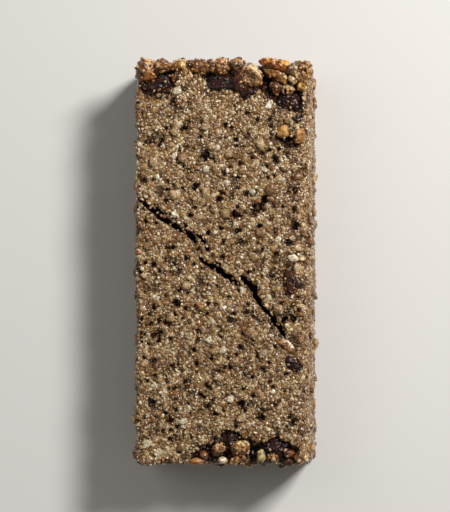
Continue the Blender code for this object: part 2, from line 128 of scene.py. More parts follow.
def place_done(obj):
    """Puts an object's location, turn and size into its mesh."""
    only(obj)
    bpy.ops.object.transform_apply(location=True, rotation=True, scale=True)


def apply_all(obj):
    """Applies the object's modifiers in order."""
    only(obj)
    for modifier in list(obj.modifiers):
        bpy.ops.object.modifier_apply(modifier=modifier.name)


def hand_over(obj, slot, finish, *nodes):
    """A finished piece: smooth, with its material, on the bar, in place of these solids."""
    only(obj)
    bpy.ops.object.shade_smooth()
    obj.data.materials.clear()
    obj.data.materials.append(finish)
    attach(obj, "root")
    if nodes:
        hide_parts(*nodes)
    print(f"{obj.name}: {len(obj.data.polygons)} faces")


# %% Helpers: points, distances and colours
def points_of(mesh):
    """A mesh's points as an array."""
    points = np.empty(len(mesh.vertices) * 3)
    mesh.vertices.foreach_get("co", points)
    return points.reshape(-1, 3)


def set_points(mesh, points):
    """Moves a mesh's points to the places in an array."""
    mesh.vertices.foreach_set("co", np.asarray(points, np.float32).ravel())
    mesh.update()


def normals_of(mesh):
    """The direction that each of a mesh's points faces."""
    normals = np.empty(len(mesh.vertices) * 3)
    mesh.vertex_normals.foreach_get("vector", normals)
    return normals.reshape(-1, 3)


def tree_of(*meshes):
    """A search tree over meshes, which finds the nearest point of their surface."""
    points, corners = [], []
    for mesh in meshes:
        mesh.calc_loop_triangles()
        start = len(points)
        points += [vert.co[:] for vert in mesh.vertices]
        corners += [tuple(start + v for v in t.vertices) for t in mesh.loop_triangles]
    return BVHTree.FromPolygons(points, corners)


def outside_by(tree, points):
    """How far each point lies outside a tree's closed surfaces. It is below zero inside them."""
    found = []
    for p in points:
        spot, normal, _, away = tree.find_nearest(Vector(p))
        found.append(-away if (Vector(p) - spot).dot(normal) < 0 else away)
    return np.array(found)


def smooth_step(value, low, high):
    """From 0 at low to 1 at high, with no corner at either end."""
    t = np.clip((value - low) / (high - low), 0, 1)
    return t * t * (3 - 2 * t)


def noise_at(points, size, offset=0.0):
    """Smooth noise from about -1 to 1 at each point, with features of about this size."""
    away = Vector((offset, offset, offset))
    return np.array([noise.noise(Vector(p) / size + away) for p in points])


def on_top(x, y, height=0.0):
    """A place on the slab's flat top, or this much over it, all in mm from the first point."""
    return Vector((x * MM, y * MM, THICKNESS + height * MM)) + SHIFT


def away_from(points, x, y):
    """How far each point is, seen from above, from a place in mm."""
    return np.hypot(points[:, 0] - SHIFT.x - x * MM, points[:, 1] - SHIFT.y - y * MM)


def linear(red, green, blue):
    """A colour as it is measured on a screen, from 0 to 255, made into amounts of light."""
    made = []
    for value in (red / 255, green / 255, blue / 255):
        made.append(value / 12.92 if value <= 0.04045 else ((value + 0.055) / 1.055) ** 2.4)
    return tuple(made)


pieces_tree = tree_of(*(frame["nodes"][node].data for node in PIECES))

# %% [markdown]
# ## The slab
#
# The pressed mass is a block with three cut sides and one side that was against the tray, which
# leans out under a round edge. A cube is divided into small cells, and each point is then moved
# on to the round edges. Rounding points by a rule, and not with a bevel, lets one side lean and
# gives each corner its own radius.

# %% Slab: sizes
LENGTH, WIDTH, THICKNESS = 94.2 * MM, 40.6 * MM, 21.0 * MM
MIDDLE = Vector((0, -0.6 * MM, 0))
LEAN = 1.1 * MM
TRAY_RADIUS, CUT_RADIUS = 3.0 * MM, 0.7 * MM
CORNER_RADII = {(1, 1): 3.6 * MM, (-1, 1): 2.0 * MM, (1, -1): 1.8 * MM, (-1, -1): 1.4 * MM}
LUMP_HEIGHT, LUMP_SPREAD = 0.6 * MM, 7.0 * MM


# %% Slab: a divided cube
def divided_cube(name, cells):
    """A cube at the slab's size, cut along each axis into cells."""
    bpy.ops.object.select_all(action="DESELECT")
    bpy.ops.mesh.primitive_cube_add(
        size=1, location=(0, 0, THICKNESS / 2), scale=(WIDTH, LENGTH, THICKNESS)
    )
    cube = bpy.context.object
    cube.name = cube.data.name = name
    place_done(cube)
    bpy.ops.object.mode_set(mode="EDIT")
    for axis, size, low in ((0, WIDTH, -WIDTH / 2), (1, LENGTH, -LENGTH / 2), (2, THICKNESS, 0)):
        normal = Vector((axis == 0, axis == 1, axis == 2))
        for step in range(1, cells[axis]):
            bpy.ops.mesh.select_all(action="SELECT")
            cut = normal * (low + size * step / cells[axis])
            bpy.ops.mesh.bisect(plane_co=cut, plane_no=normal)
    bpy.ops.object.mode_set(mode="OBJECT")
    return cube


slab = divided_cube("slab", (32, 70, 16))
print("slab:", len(slab.data.polygons), "faces")


# %% Slab: round edges, the leaning side and its unevenness
def round_edge(co, a, b, signs, halves, radius):
    """Moves a point of a box near the edge across axes a and b on to a round edge."""
    along_a = signs[0] * co[a] - (halves[0] - radius)
    along_b = signs[1] * co[b] - (halves[1] - radius)
    if along_a <= 0 or along_b <= 0:
        return
    reach = max(along_a, along_b)
    if along_a < along_b:
        angle = math.pi / 4 * along_a / along_b
    else:
        angle = math.pi / 2 - math.pi / 4 * along_b / along_a
    co[a] = signs[0] * (halves[0] - radius + reach * math.sin(angle))
    co[b] = signs[1] * (halves[1] - radius + reach * math.cos(angle))


def slab_point(co):
    """The place on the pressed slab of one point of the plain cube."""
    half_x, half_y, half_z = WIDTH / 2, LENGTH / 2, THICKNESS / 2
    moved = Vector((co.x, co.y, co.z - half_z))
    round_edge(moved, 0, 2, (1, 1), (half_x, half_z), TRAY_RADIUS)
    round_edge(moved, 0, 2, (-1, 1), (half_x, half_z), CUT_RADIUS)
    for sign in (1, -1):
        round_edge(moved, 1, 2, (sign, 1), (half_y, half_z), CUT_RADIUS)
    for (sign_x, sign_y), radius in CORNER_RADII.items():
        round_edge(moved, 0, 1, (sign_x, sign_y), (half_x, half_y), radius)
    height = moved.z + half_z
    if moved.x > 0:
        moved.x += LEAN * (1 - height / THICKNESS) * (moved.x / half_x) ** 2
    return Vector((moved.x, moved.y, height))


def lump(point, spread, offset=0.0):
    """Smooth noise from about -1 to 1 at a point."""
    return noise.fractal(point / spread + Vector((offset, offset, offset)), 1.0, 2.0, 2)


def press(slab):
    """Rounds the slab, and pushes its sides and top in and out a little."""
    for vert in slab.data.vertices:
        vert.co = slab_point(vert.co) + MIDDLE
    slab.data.update()
    normals = [Vector(n) for n in normals_of(slab.data)]
    for vert, normal in zip(slab.data.vertices, normals):
        if vert.co.z < 0.01 * MM:
            normal.z = 0
        vert.co = vert.co + normal * LUMP_HEIGHT * lump(vert.co, LUMP_SPREAD) + SHIFT
    slab.data.update()


press(slab)
uncut = tree_of(slab.data)
print("slab pressed:", [round(d / MM, 1) for d in slab.dimensions], "mm")

# %% [markdown]
# ## Hollows and cracks
#
# At both ends the mass has broken out round the nuts, and a crack runs from one long side across
# the top. The hollows are lumpy bowls. The crack is a ribbon as wide as the gap, with both sides
# torn in and out a little, and deep enough that hardly any light reaches its floor. It is
# shallower where it comes out at the long side. One Boolean takes them all from the slab.

# %% Hollows: lumpy bowls
HOLLOWS = (
    # middle x and y, half length, half width and depth in mm, and turn in degrees
    (-16.0, 45.0, 6.4, 6.2, 4.2, 0),
    (-6.0, 48.0, 6.5, 4.6, 4.2, 0),
    (0.8, 46.4, 7.4, 6.8, 4.4, 0),
    (6.4, 45.4, 6.6, 7.0, 4.6, 0),
    (13.8, 41.2, 7.0, 4.2, 4.0, -46),
    (-0.8, -46.6, 7.3, 4.7, 4.2, 10),
    (6.0, -46.0, 6.5, 4.6, 4.2, 0),
    (13.4, -45.6, 4.8, 4.4, 3.6, -6),
    (15.4, 28.4, 3.6, 1.6, 2.4, -22),
    (2.0, -41.6, 3.4, 2.3, 1.9, 0),
)


def hollow_cutter(row, number):
    """A lumpy bowl, at the place of one hollow."""
    x, y, half_length, half_width, depth, turn = row
    bpy.ops.object.select_all(action="DESELECT")
    bpy.ops.mesh.primitive_ico_sphere_add(subdivisions=4, radius=1)
    bowl = bpy.context.object
    for vert in bowl.data.vertices:
        lumpy = vert.co * (1 + 0.13 * lump(vert.co, 0.5, number) + 0.05 * lump(vert.co, 0.16, number))
        vert.co = Vector((lumpy.x * half_length, lumpy.y * half_width, lumpy.z * depth)) * MM
    bowl.location = on_top(x, y)
    bowl.rotation_euler = (0, 0, math.radians(turn))
    place_done(bowl)
    return bowl


cutters = bpy.data.collections.new("cutters")
bpy.context.scene.collection.children.link(cutters)


def to_cutters(obj):
    """Moves a helper object into the collection of cutters."""
    for other in list(obj.users_collection):
        other.objects.unlink(obj)
    cutters.objects.link(obj)


for number, row in enumerate(HOLLOWS):
    to_cutters(hollow_cutter(row, number))

# %% Crack: torn ribbons
CRACKS = (
    # points in mm, with the width of the gap at each
    (
        (-20.6, 15.4, 0.93), (-19.2, 14.4, 1.02), (-16.8, 12.4, 1.02), (-14.6, 10.6, 1.4),
        (-12.9, 9.6, 1.4), (-11.4, 8.4, 1.21), (-8.5, 7.1, 1.12), (-7.0, 5.5, 1.3), (-6.2, 4.3, 0.84),
    ),
    ((-16.8, 13.9, 0.84), (-15.2, 12.7, 0.93), (-14.2, 11.0, 0.93)),
    ((-5.8, 6.6, 0.84), (-4.6, 4.8, 1.02), (-3.6, 3.2, 1.3), (-3.2, 2.2, 0.84)),
    (
        (-5.8, 1.9, 0.84), (-4.6, 0.1, 1.12), (-2.1, -1.2, 1.12), (-0.4, -2.2, 1.4), (1.0, -3.2, 1.3),
        (3.8, -5.7, 0.84),
    ),
    (
        (4.0, -3.0, 0.93), (4.9, -3.8, 1.49), (6.2, -5.2, 1.3), (7.3, -6.2, 1.49), (7.9, -8.2, 1.21),
        (8.7, -9.9, 1.4), (10.2, -11.4, 1.3), (12.0, -13.4, 1.3), (13.4, -15.3, 1.3), (14.6, -17.6, 0.93),
    ),
    ((13.7, -14.2, 0.84), (15.3, -13.1, 1.12), (17.4, -13.9, 0.84)),
)
CRACK_DEPTH = 7.0 * MM
SIDE_RISE, SIDE_STEPS = 4.6, 12
TEAR_STEP, TEAR, WIDTH_TEAR, LEAST_WIDTH = 0.6, 0.25, 1.6, 0.85


def torn_route(route, draw):
    """The route's points at short steps, each moved a little sideways: x, y and width."""
    made = []
    for (x0, y0, w0), (x1, y1, w1) in zip(route, route[1:]):
        steps = max(1, round(math.hypot(x1 - x0, y1 - y0) / TEAR_STEP))
        for i in range(steps):
            t = i / steps
            torn = [draw.uniform(-TEAR, TEAR) for _ in range(3)]
            width = max(LEAST_WIDTH, w0 + (w1 - w0) * t + torn[2] * WIDTH_TEAR)
            made.append((x0 + (x1 - x0) * t + torn[0], y0 + (y1 - y0) * t + torn[1], width))
    return made + [route[-1]]


TORN = [torn_route(route, random.Random(number)) for number, route in enumerate(CRACKS)]


def crack_cutter(points, number):
    """A torn ribbon, flat at first, and then extruded through the crack's depth."""
    comes_out = number == 0
    left, right = [], []
    for i, (x, y, width) in enumerate(points):
        before, after = points[max(i - 2, 0)], points[min(i + 2, len(points) - 1)]
        along = Vector((after[0] - before[0], after[1] - before[1], 0)).normalized()
        across = Vector((-along.y, along.x, 0)) * width / 2
        middle = Vector((x, y, comes_out * SIDE_RISE * max(0, 1 - i / SIDE_STEPS)))
        left.append((middle + across) * MM)
        right.append((middle - across) * MM)
    mesh = bpy.data.meshes.new(f"crack_{number}")
    quads = [(i, i + 1, len(left) + i + 1, len(left) + i) for i in range(len(left) - 1)]
    mesh.from_pydata(left + right, [], quads)
    ribbon = in_scene(mesh.name, mesh)
    ribbon.location = Vector((0, 0, THICKNESS - CRACK_DEPTH)) + SHIFT
    place_done(ribbon)
    rise = {"value": (0, 0, CRACK_DEPTH + 2 * MM)}
    edit_all(ribbon, bpy.ops.mesh.extrude_region_move, TRANSFORM_OT_translate=rise)
    edit_all(ribbon, bpy.ops.mesh.normals_make_consistent, inside=False)
    return ribbon


for number, route in enumerate(TORN):
    to_cutters(crack_cutter(route, number))

# %% Take the hollows and cracks from the slab
FINE_CELL = 0.42 * MM


def cut_and_refine(slab):
    """Takes the cutters away, and gives the slab an even mesh that is fine enough for pits."""
    cut = slab.modifiers.new("broken_out", "BOOLEAN")
    cut.operation, cut.operand_type, cut.collection = "DIFFERENCE", "COLLECTION", cutters
    cut.solver = "EXACT"
    cut.use_self = True
    apply_all(slab)
    for cutter in list(cutters.objects):
        bpy.data.objects.remove(cutter)
    bpy.data.collections.remove(cutters)
    even = slab.modifiers.new("even", "REMESH")
    even.mode, even.voxel_size = "VOXEL", FINE_CELL
    apply_all(slab)
    edit_all(slab, bpy.ops.mesh.vertices_smooth, factor=0.4, repeat=1)


cut_and_refine(slab)
print("cut slab:", len(slab.data.polygons), "faces")

# %% [markdown]
# ## The syrup bed
#
# Between the grains one sees the syrup that holds them, so the slab is lowered by a hair and
# becomes a brown bed. Where grains have dropped out there are pits, between the clumps run open
# gaps, and round each nut there is a narrow moat. All are pressed into the bed by moving its
# points, because that is quicker than cutting, and their rims are soft anyway. A Voronoi pattern
# gives the gaps: a place is near a gap where its two nearest cells are almost equally far.

# %% Bed: pits
PITS = (
    # x, y and width in mm
    (-3.9, 25.0, 2.4), (12.6, 23.9, 2.0), (8.2, 12.8, 2.4), (9.9, 14.4, 2.2), (3.0, 11.0, 2.0),
    (-10.8, -9.5, 1.9), (-15.2, -16.9, 2.0), (-16.8, -33.1, 2.2), (-12.5, -37.1, 1.9),
    (4.4, -33.6, 2.3), (9.1, -36.6, 1.9), (17.2, 8.5, 2.2), (15.4, 4.6, 1.9), (-6.4, 17.7, 2.0),
    (-16.4, 28.7, 1.2), (-14.3, 28.7, 1.1), (-8.9, 31.5, 1.3), (0.9, 32.2, 1.1), (3.1, 28.7, 1.2),
    (9.4, 25.4, 1.1), (-2.4, 24.4, 1.3), (0.5, 20.9, 1.2), (-18.6, 19.0, 1.4), (-7.0, 17.6, 1.1),
    (-13.4, 14.6, 1.2), (5.6, 16.0, 1.3), (-0.7, 14.8, 1.4), (-7.5, 11.0, 1.1), (3.8, 7.5, 1.2),
    (8.7, 8.5, 1.3), (-3.3, 6.8, 1.2), (4.7, 4.5, 1.1), (-8.5, 0.9, 1.2), (-12.9, 3.3, 1.1),
    (-16.2, -0.5, 1.5), (0.0, 0.9, 1.3), (11.5, -3.3, 1.2), (-16.2, -10.6, 1.1), (-11.3, -12.5, 1.3),
    (17.2, 16.7, 1.6), (16.9, 12.7, 1.4), (-19.3, -2.6, 1.2), (-14.3, -16.7, 1.2), (-14.8, -13.9, 1.2),
    (4.2, -20.0, 1.4), (-6.1, -24.0, 1.2), (-6.6, -20.7, 1.1), (12.5, -33.6, 1.2), (-1.4, -35.5, 1.2),
    (19.7, -27.3, 1.2), (7.3, -31.5, 1.1), (-19.8, 24.5, 1.0), (6.0, 34.9, 1.1), (-11.5, -30.0, 1.1),
    (1.5, -13.5, 1.0), (-3.0, -29.5, 1.1), (9.5, -25.0, 1.0), (13.9, -9.8, 1.0), (-18.4, -22.5, 1.1),
)
SMALL_PITS = 280
SMALL_X, SMALL_Y, SMALL_WIDTHS = 19.5, 45, (0.55, 1.1)
TOP_BAND, FAR = 2.5 * MM, 2 * MM


def small_pits(count):
    """Pits where single small grains are missing, at random over the top."""
    draw = random.Random(21)
    ranges = ((-SMALL_X, SMALL_X), (-SMALL_Y, SMALL_Y), SMALL_WIDTHS)
    return tuple(tuple(draw.uniform(*ends) for ends in ranges) for _ in range(count))


ALL_PITS = PITS + small_pits(SMALL_PITS)


def pit_distance(points):
    """How far each point on the top is from the ragged rim of a pit, below zero inside it."""
    ragged = 1 + 0.6 * noise_at(points, 0.8 * MM, 5)
    found = np.full(len(points), FAR)
    for x, y, width in ALL_PITS:
        found = np.minimum(found, away_from(points, x, y) * ragged - width / 2 * MM)
    return np.where(points[:, 2] > THICKNESS - TOP_BAND, found, FAR)


print("pits:", len(ALL_PITS))

# %% Bed: gaps between clumps
CLUMP, CLUMP_BEND = 2.8 * MM, 0.35
OPEN_SPREAD, CLOSING, CLOSED_BY = 3.5 * MM, 0.2, 0.35
# noise_vector takes its start from the clock, unless it is given a seed.
noise.seed_set(5)


def gap_distance(points):
    """How far each point is from an open gap between two clumps, up to 1 mm."""
    found = np.full(len(points), 1.0 * MM)
    opened = noise_at(points, OPEN_SPREAD, 31)
    for i in np.flatnonzero(opened > 0):
        spot = Vector(points[i]) / CLUMP
        spot += CLUMP_BEND * noise.noise_vector(spot * 2.0)
        nearest, second = noise.voronoi(spot)[0][:2]
        closing = max(0.0, CLOSING - opened[i]) / CLOSING * CLOSED_BY * MM
        found[i] = min(found[i], (second - nearest) / 2 * CLUMP + closing)
    return found


def crack_distance(points):
    """How far each point near the top is from the side of the crack, below zero inside it."""
    found = np.full(len(points), FAR)
    for route in TORN:
        for (x0, y0, w0), (x1, y1, w1) in zip(route, route[1:]):
            start = np.array((x0, y0)) * MM + np.array(SHIFT[:2])
            along = np.array((x1 - x0, y1 - y0)) * MM
            t = np.clip((points[:, :2] - start) @ along / (along @ along), 0, 1)
            away = np.linalg.norm(points[:, :2] - start - t[:, None] * along, axis=1)
            found = np.minimum(found, away - (w0 + (w1 - w0) * t) / 2 * MM)
    return np.where(points[:, 2] > THICKNESS - CRACK_DEPTH, found, FAR)


# %% Bed: press it into shape
BED_DEPTH, PIT_DEPTH, GAP_DEPTH, MOAT_DEPTH = 0.04 * MM, 1.6 * MM, 0.45 * MM, 0.5 * MM
# Each of these goes from one distance, where it is whole, to another, where it ends.
SKIN_FADE, PIT_FADE = (0.15 * MM, 0.7 * MM), (-0.22 * MM, 0.12 * MM)
GAP_FADE, MOAT_FADE = (0.05 * MM, 0.35 * MM), (0.15 * MM, 0.7 * MM)
# DARK_DEPTHS: the depths over which the bed grows dark further into the hollows and the crack. That is dark
# syrup there, and painted shade too.
DARK_DEPTHS = (0.3 * MM, 1.6 * MM)
SKIN_RELIEF, HOLLOW_RELIEF = 0.14 * MM, 0.35 * MM
LOWEST = 0.25 * MM


def depth_below_skin(points):
    """How far each point lies inside the uncut slab."""
    return np.array([uncut.find_nearest(Vector(p))[3] for p in points])


def make_bed(slab):
    """Lowers the slab's skin, presses pits, gaps and moats in, and stores on each point how much painted
    shade it gets in them and further down.
    """
    points, normals = points_of(slab.data), normals_of(slab.data)
    depth = depth_below_skin(points)
    on_skin = 1 - smooth_step(depth, *SKIN_FADE)
    pits = 1 - smooth_step(pit_distance(points), *PIT_FADE)
    gaps = 1 - smooth_step(gap_distance(points), *GAP_FADE)
    moats = 1 - smooth_step(outside_by(pieces_tree, points), *MOAT_FADE)
    pressed = np.maximum.reduce([PIT_DEPTH * pits, GAP_DEPTH * gaps, MOAT_DEPTH * moats])
    relief = SKIN_RELIEF * noise_at(points, 0.8 * MM)
    relief += HOLLOW_RELIEF * (1 - on_skin) * noise_at(points, 1.3 * MM, 9)
    points -= normals * ((BED_DEPTH + pressed) * on_skin - relief)[:, None]
    points[:, 2] = np.maximum(points[:, 2], LOWEST)
    set_points(slab.data, points)
    # Painted shade is stored on each point: full in the pits, most in the gaps and moats round the nuts, and
    # growing with depth in the hollows and the crack, where it also stands for dark syrup.
    deep = slab.data.attributes.new("deep", "FLOAT", "POINT")
    hole_shade = np.maximum.reduce([pits, 0.8 * gaps, 0.7 * moats, smooth_step(depth, *DARK_DEPTHS)])
    deep.data.foreach_set("value", np.clip(hole_shade, 0, 1))


slab.name = slab.data.name = "pressed_bed"
make_bed(slab)
print("bed:", len(slab.data.vertices), "points")

# %% [markdown]
# ## Finishes
#
# Everything edible here is under a thin coat of syrup. In the Principled shader that is the coat:
# a clear shiny layer over a duller body. Colours come from noise on the object's own
# coordinates, or from a colour that is stored on each grain.


# %% Finishes: a shader with its coat
def new_finish(name, roughness, coat, coat_roughness=0.12):
    """A material with a coat, and the node tree and shader to work on."""
    made = bpy.data.materials.new(name)
    made.use_nodes = True
    tree = made.node_tree
    shader = tree.nodes["Principled BSDF"]
    shader.inputs["Roughness"].default_value = roughness
    shader.inputs["Specular IOR Level"].default_value = 0.15
    shader.inputs["Coat Weight"].default_value = coat
    shader.inputs["Coat Roughness"].default_value = coat_roughness
    return made, tree, shader


def add_node(tree, kind, values, links, **settings):
    """A shader node with its settings, and with the values and links of its inputs by name or number."""
    made = tree.nodes.new("ShaderNode" + kind)
    for name, setting in settings.items():
        setattr(made, name, setting)
    for name, value in values.items():
        made.inputs[name].default_value = value
    for name, source in links.items():
        tree.links.new(source, made.inputs[name])
    return made


def own_place(tree):
    """The object's own coordinates."""
    return tree.nodes.new("ShaderNodeTexCoord").outputs["Object"]


def stored_node(tree, name):
    """What is stored on the points under this name."""
    return add_node(tree, "Attribute", {}, {}, attribute_name=name)


def noise_node(tree, size, detail=3.0, roughness=0.55):
    """Noise with features of about this size, in metres, on the object's own coordinates."""
    values = {"Scale": 1 / size, "Detail": detail, "Roughness": roughness}
    return add_node(tree, "TexNoise", values, {"Vector": own_place(tree)})


def ramp_of(tree, source, stops):
    """The colour from a ramp on a source, with stops of position and colour."""
    made = add_node(tree, "ValToRGB", {}, {"Fac": source})
    ramp = made.color_ramp
    while len(ramp.elements) < len(stops):
        ramp.elements.new(0.5)
    for element, (position, colour) in zip(ramp.elements, stops):
        element.position, element.color = position, (*colour, 1)
    return made.outputs["Color"]


def product_of(tree, first, second):
    """One colour multiplied by another."""
    links = {"A": first, "B": second}
    made = add_node(tree, "Mix", {"Factor": 1.0}, links, data_type="RGBA", blend_type="MULTIPLY")
    return made.outputs["Result"]


def blend_of(tree, factor, first, second):
    """One colour, changed to a plain second colour where the factor is 1."""
    made = add_node(tree, "Mix", {"B": (*second, 1)}, {"Factor": factor, "A": first}, data_type="RGBA")
    return made.outputs["Result"]


def add_bump(tree, shader, source, height):
    """Low relief from a source, with its height in metres."""
    bump = add_node(tree, "Bump", {"Distance": height, "Strength": 1.0}, {"Height": source})
    for socket in ("Normal", "Coat Normal"):
        tree.links.new(bump.outputs["Normal"], shader.inputs[socket])
    return bump


# %% Finishes: the syrup bed
BED_CELL, CELL_WANDER = 1.0 * MM, 0.8 * MM
# The second colour is painted shade in the pits, gaps and moats, and dark syrup with painted shade deep in
# the hollows and the crack.
SYRUP_COAT, DARK_SYRUP_AND_SHADE = 0.6, linear(34, 11, 2)


def cell_node(tree, feature):
    """A Voronoi pattern of the bed's cells, with wandering sides."""
    links = {0: noise_node(tree, 2 * BED_CELL).outputs["Color"], 2: own_place(tree)}
    bent = add_node(tree, "VectorMath", {1: [CELL_WANDER] * 3}, links, operation="MULTIPLY_ADD")
    links = {"Vector": bent.outputs["Vector"]}
    return add_node(tree, "TexVoronoi", {"Scale": 1 / BED_CELL}, links, feature=feature)


# The pale specks are painted glints: highlights of the syrup put into the base colour.
PAINTED_GLINTS, DARK_SPECKS = linear(236, 230, 210), linear(40, 14, 3)


def add_specks(tree, colour, glints_from=0.64):
    """Scatters pale specks, painted glints of the syrup, and dark specks, smaller than a grain, over a
    colour.
    """
    # Painted glints: where this noise is high, the colour turns near white.
    pale = ramp_of(
        tree, noise_node(tree, 0.5 * MM, 1.0).outputs["Fac"],
        ((glints_from, (0, 0, 0)), (glints_from + 0.05, (0.85, 0.85, 0.85))),
    )
    dark = ramp_of(
        tree, noise_node(tree, 0.62 * MM, 2.0).outputs["Fac"],
        ((0.315, (0.9, 0.9, 0.9)), (0.355, (0, 0, 0))),
    )
    return blend_of(tree, dark, blend_of(tree, pale, colour, PAINTED_GLINTS), DARK_SPECKS)


def bed_finish():
    """Grain run together in syrup: soft cells of several tones between brown lines, with painted shade in
    the pits, gaps and moats, and dark syrup with painted shade deeper in.
    """
    made, tree, shader = new_finish("syrup_bed", 0.6, SYRUP_COAT, 0.08)
    tones = ramp_of(
        tree, cell_node(tree, "F1").outputs["Color"],
        ((0.30, linear(112, 76, 38)), (0.48, linear(146, 112, 68)), (0.62, linear(166, 136, 92)),
         (0.80, linear(196, 174, 134))),
    )
    to_side = cell_node(tree, "DISTANCE_TO_EDGE").outputs["Distance"]
    browned = ramp_of(tree, to_side, ((0.0, (0.45, 0.33, 0.20)), (0.16, (0.95, 0.93, 0.90))))
    mottled = ramp_of(
        tree, noise_node(tree, 0.7 * MM, 4, 0.65).outputs["Fac"],
        ((0.36, (0.52, 0.42, 0.30)), (0.50, (0.96, 0.94, 0.92)), (0.64, (1.2, 1.22, 1.25))),
    )
    brown = add_specks(tree, product_of(tree, product_of(tree, tones, browned), mottled))
    deep = stored_node(tree, "deep").outputs["Fac"]
    # Painted shade: the stored value turns the colour dark in the pits, gaps and moats, and deep in the
    # hollows and the crack.
    tree.links.new(blend_of(tree, deep, brown, DARK_SYRUP_AND_SHADE), shader.inputs["Base Color"])
    less_coat = add_node(tree, "Math", {1: -0.5, 2: SYRUP_COAT}, {0: deep}, operation="MULTIPLY_ADD")
    tree.links.new(less_coat.outputs["Value"], shader.inputs["Coat Weight"])
    domes = ramp_of(tree, to_side, ((0.0, (0, 0, 0)), (0.35, (1, 1, 1))))
    low = add_bump(tree, shader, domes, 0.16 * MM)
    fine = add_bump(tree, shader, noise_node(tree, 0.5 * MM, 3, 0.6).outputs["Fac"], 0.26 * MM)
    tree.links.new(low.outputs["Normal"], fine.inputs["Normal"])
    return made


hand_over(slab, "pressed_grain", bed_finish(), "pressed_block")

# %% [markdown]
# ## Puffed grain
#
# A puffed grain is a burst seed: a lumpy ball that was squeezed against the others. One ball is
# modelled for each of a few sizes of mesh, in several lumpy versions. All the grains of a kind
# are then copies of these in one mesh. That keeps the file quick, where thousands of objects
# would not be.

# %% Grain: the balls that are copied
VERSIONS = 7


def grain_ball(detail):
    """A ball for one detail, from few faces to most."""
    bpy.ops.object.select_all(action="DESELECT")
    if detail == "some":
        bpy.ops.mesh.primitive_uv_sphere_add(segments=7, ring_count=4, radius=1)
    else:
        steps = {"few": 1, "many": 2, "most": 3}[detail]
        bpy.ops.mesh.primitive_ico_sphere_add(subdivisions=steps, radius=1)
    ball = bpy.context.object
    edit_all(ball, bpy.ops.mesh.quads_convert_to_tris)
    return ball


def burst(points, number):
    """Gives a ball the lumps and the flattened top of a puffed grain."""
    made = []
    for p in points:
        point = Vector(p)
        point *= 1 + 0.50 * noise.noise(point * 0.9 + Vector((number * 7.1, 0, 0)))
        point *= 1 + 0.35 * noise.noise(point * 2.3 + Vector((0, number * 5.3, 0)))
        if point.z > 0.7:
            point.z = 0.7 + (point.z - 0.7) * 0.4
        made.append(point[:])
    return np.array(made)


def grain_shapes(detail):
    """The corners of a ball's faces, and its points in each lumpy version."""
    ball = grain_ball(detail)
    points = points_of(ball.data)
    faces = np.array([tuple(f.vertices) for f in ball.data.polygons])
    bpy.data.objects.remove(ball)
    return faces, [burst(points, number) for number in range(VERSIONS)]


SHAPES = {detail: grain_shapes(detail) for detail in ("few", "some", "many", "most")}
print("grain faces:", {detail: len(faces) for detail, (faces, _) in SHAPES.items()})

# %% [markdown]
# Grains touch, and hardly run through each other. So each new grain is tried at a random place on
# the slab and kept only where it is far enough from the others, and from a pit, a gap, the crack
# or a nut. The largest go first and the finest fill what is left. A grid of small boxes keeps the
# search short.


# %% Grain: random places, and a grid of boxes
def surface_samples(mesh, count, seed_number):
    """Random places spread evenly over a mesh."""
    mesh.calc_loop_triangles()
    corners = np.empty(len(mesh.loop_triangles) * 3, np.int64)
    mesh.loop_triangles.foreach_get("vertices", corners)
    a, b, c = points_of(mesh)[corners.reshape(-1, 3)].transpose(1, 0, 2)
    areas = np.linalg.norm(np.cross(b - a, c - a), axis=1)
    draw = np.random.default_rng(seed_number)
    chosen = draw.choice(len(areas), count, p=areas / areas.sum())
    u, v = draw.random((2, count, 1))
    u, v = np.where(u + v > 1, 1 - u, u), np.where(u + v > 1, 1 - v, v)
    return a[chosen] + u * (b - a)[chosen] + v * (c - a)[chosen]


class Packing:
    """Grains that have been placed, in a grid of boxes, so that near ones are found quickly."""

    def __init__(self, cell):
        self.cell = cell
        self.boxes = {}

    def has_room(self, point, radius, tightness):
        """True if a grain of this radius fits here, beside those already placed."""
        i, j, k = (int(v // self.cell) for v in point)
        for x in (i - 1, i, i + 1):
            for y in (j - 1, j, j + 1):
                for z in (k - 1, k, k + 1):
                    for px, py, pz, other in self.boxes.get((x, y, z), ()):
                        need = (radius + other) * tightness
                        near = (px - point[0]) ** 2 + (py - point[1]) ** 2 + (pz - point[2]) ** 2
                        if near < need * need:
                            return False
        return True

    def add(self, point, radius):
        """Places a grain."""
        key = tuple(int(v // self.cell) for v in point)
        self.boxes.setdefault(key, []).append((*point, radius))


SAMPLES = 150000
skin = surface_samples(slab.data, SAMPLES, 5)
skin_depth = depth_below_skin(skin)
crack_room, nut_room = crack_distance(skin), outside_by(pieces_tree, skin)
ragged_room = crack_room + 0.05 * MM + 0.15 * MM * noise_at(skin, 0.7 * MM, 3)
skin_room = np.minimum.reduce([gap_distance(skin), pit_distance(skin), ragged_room, nut_room])
outer = (skin_depth < BED_DEPTH + GAP_DEPTH + 0.35 * MM) & (skin_room > 0.1 * MM)
print("samples:", len(skin), "of which grain may stand on:", int(outer.sum()))

# %% [markdown]
# Some grains are larger and stand out of the slab. The solids have them too, so each one is found
# there again: the solid's points that are well above the plain slab are gathered into groups.
# The pale puffs that catch the eye on the top are added at their own places.

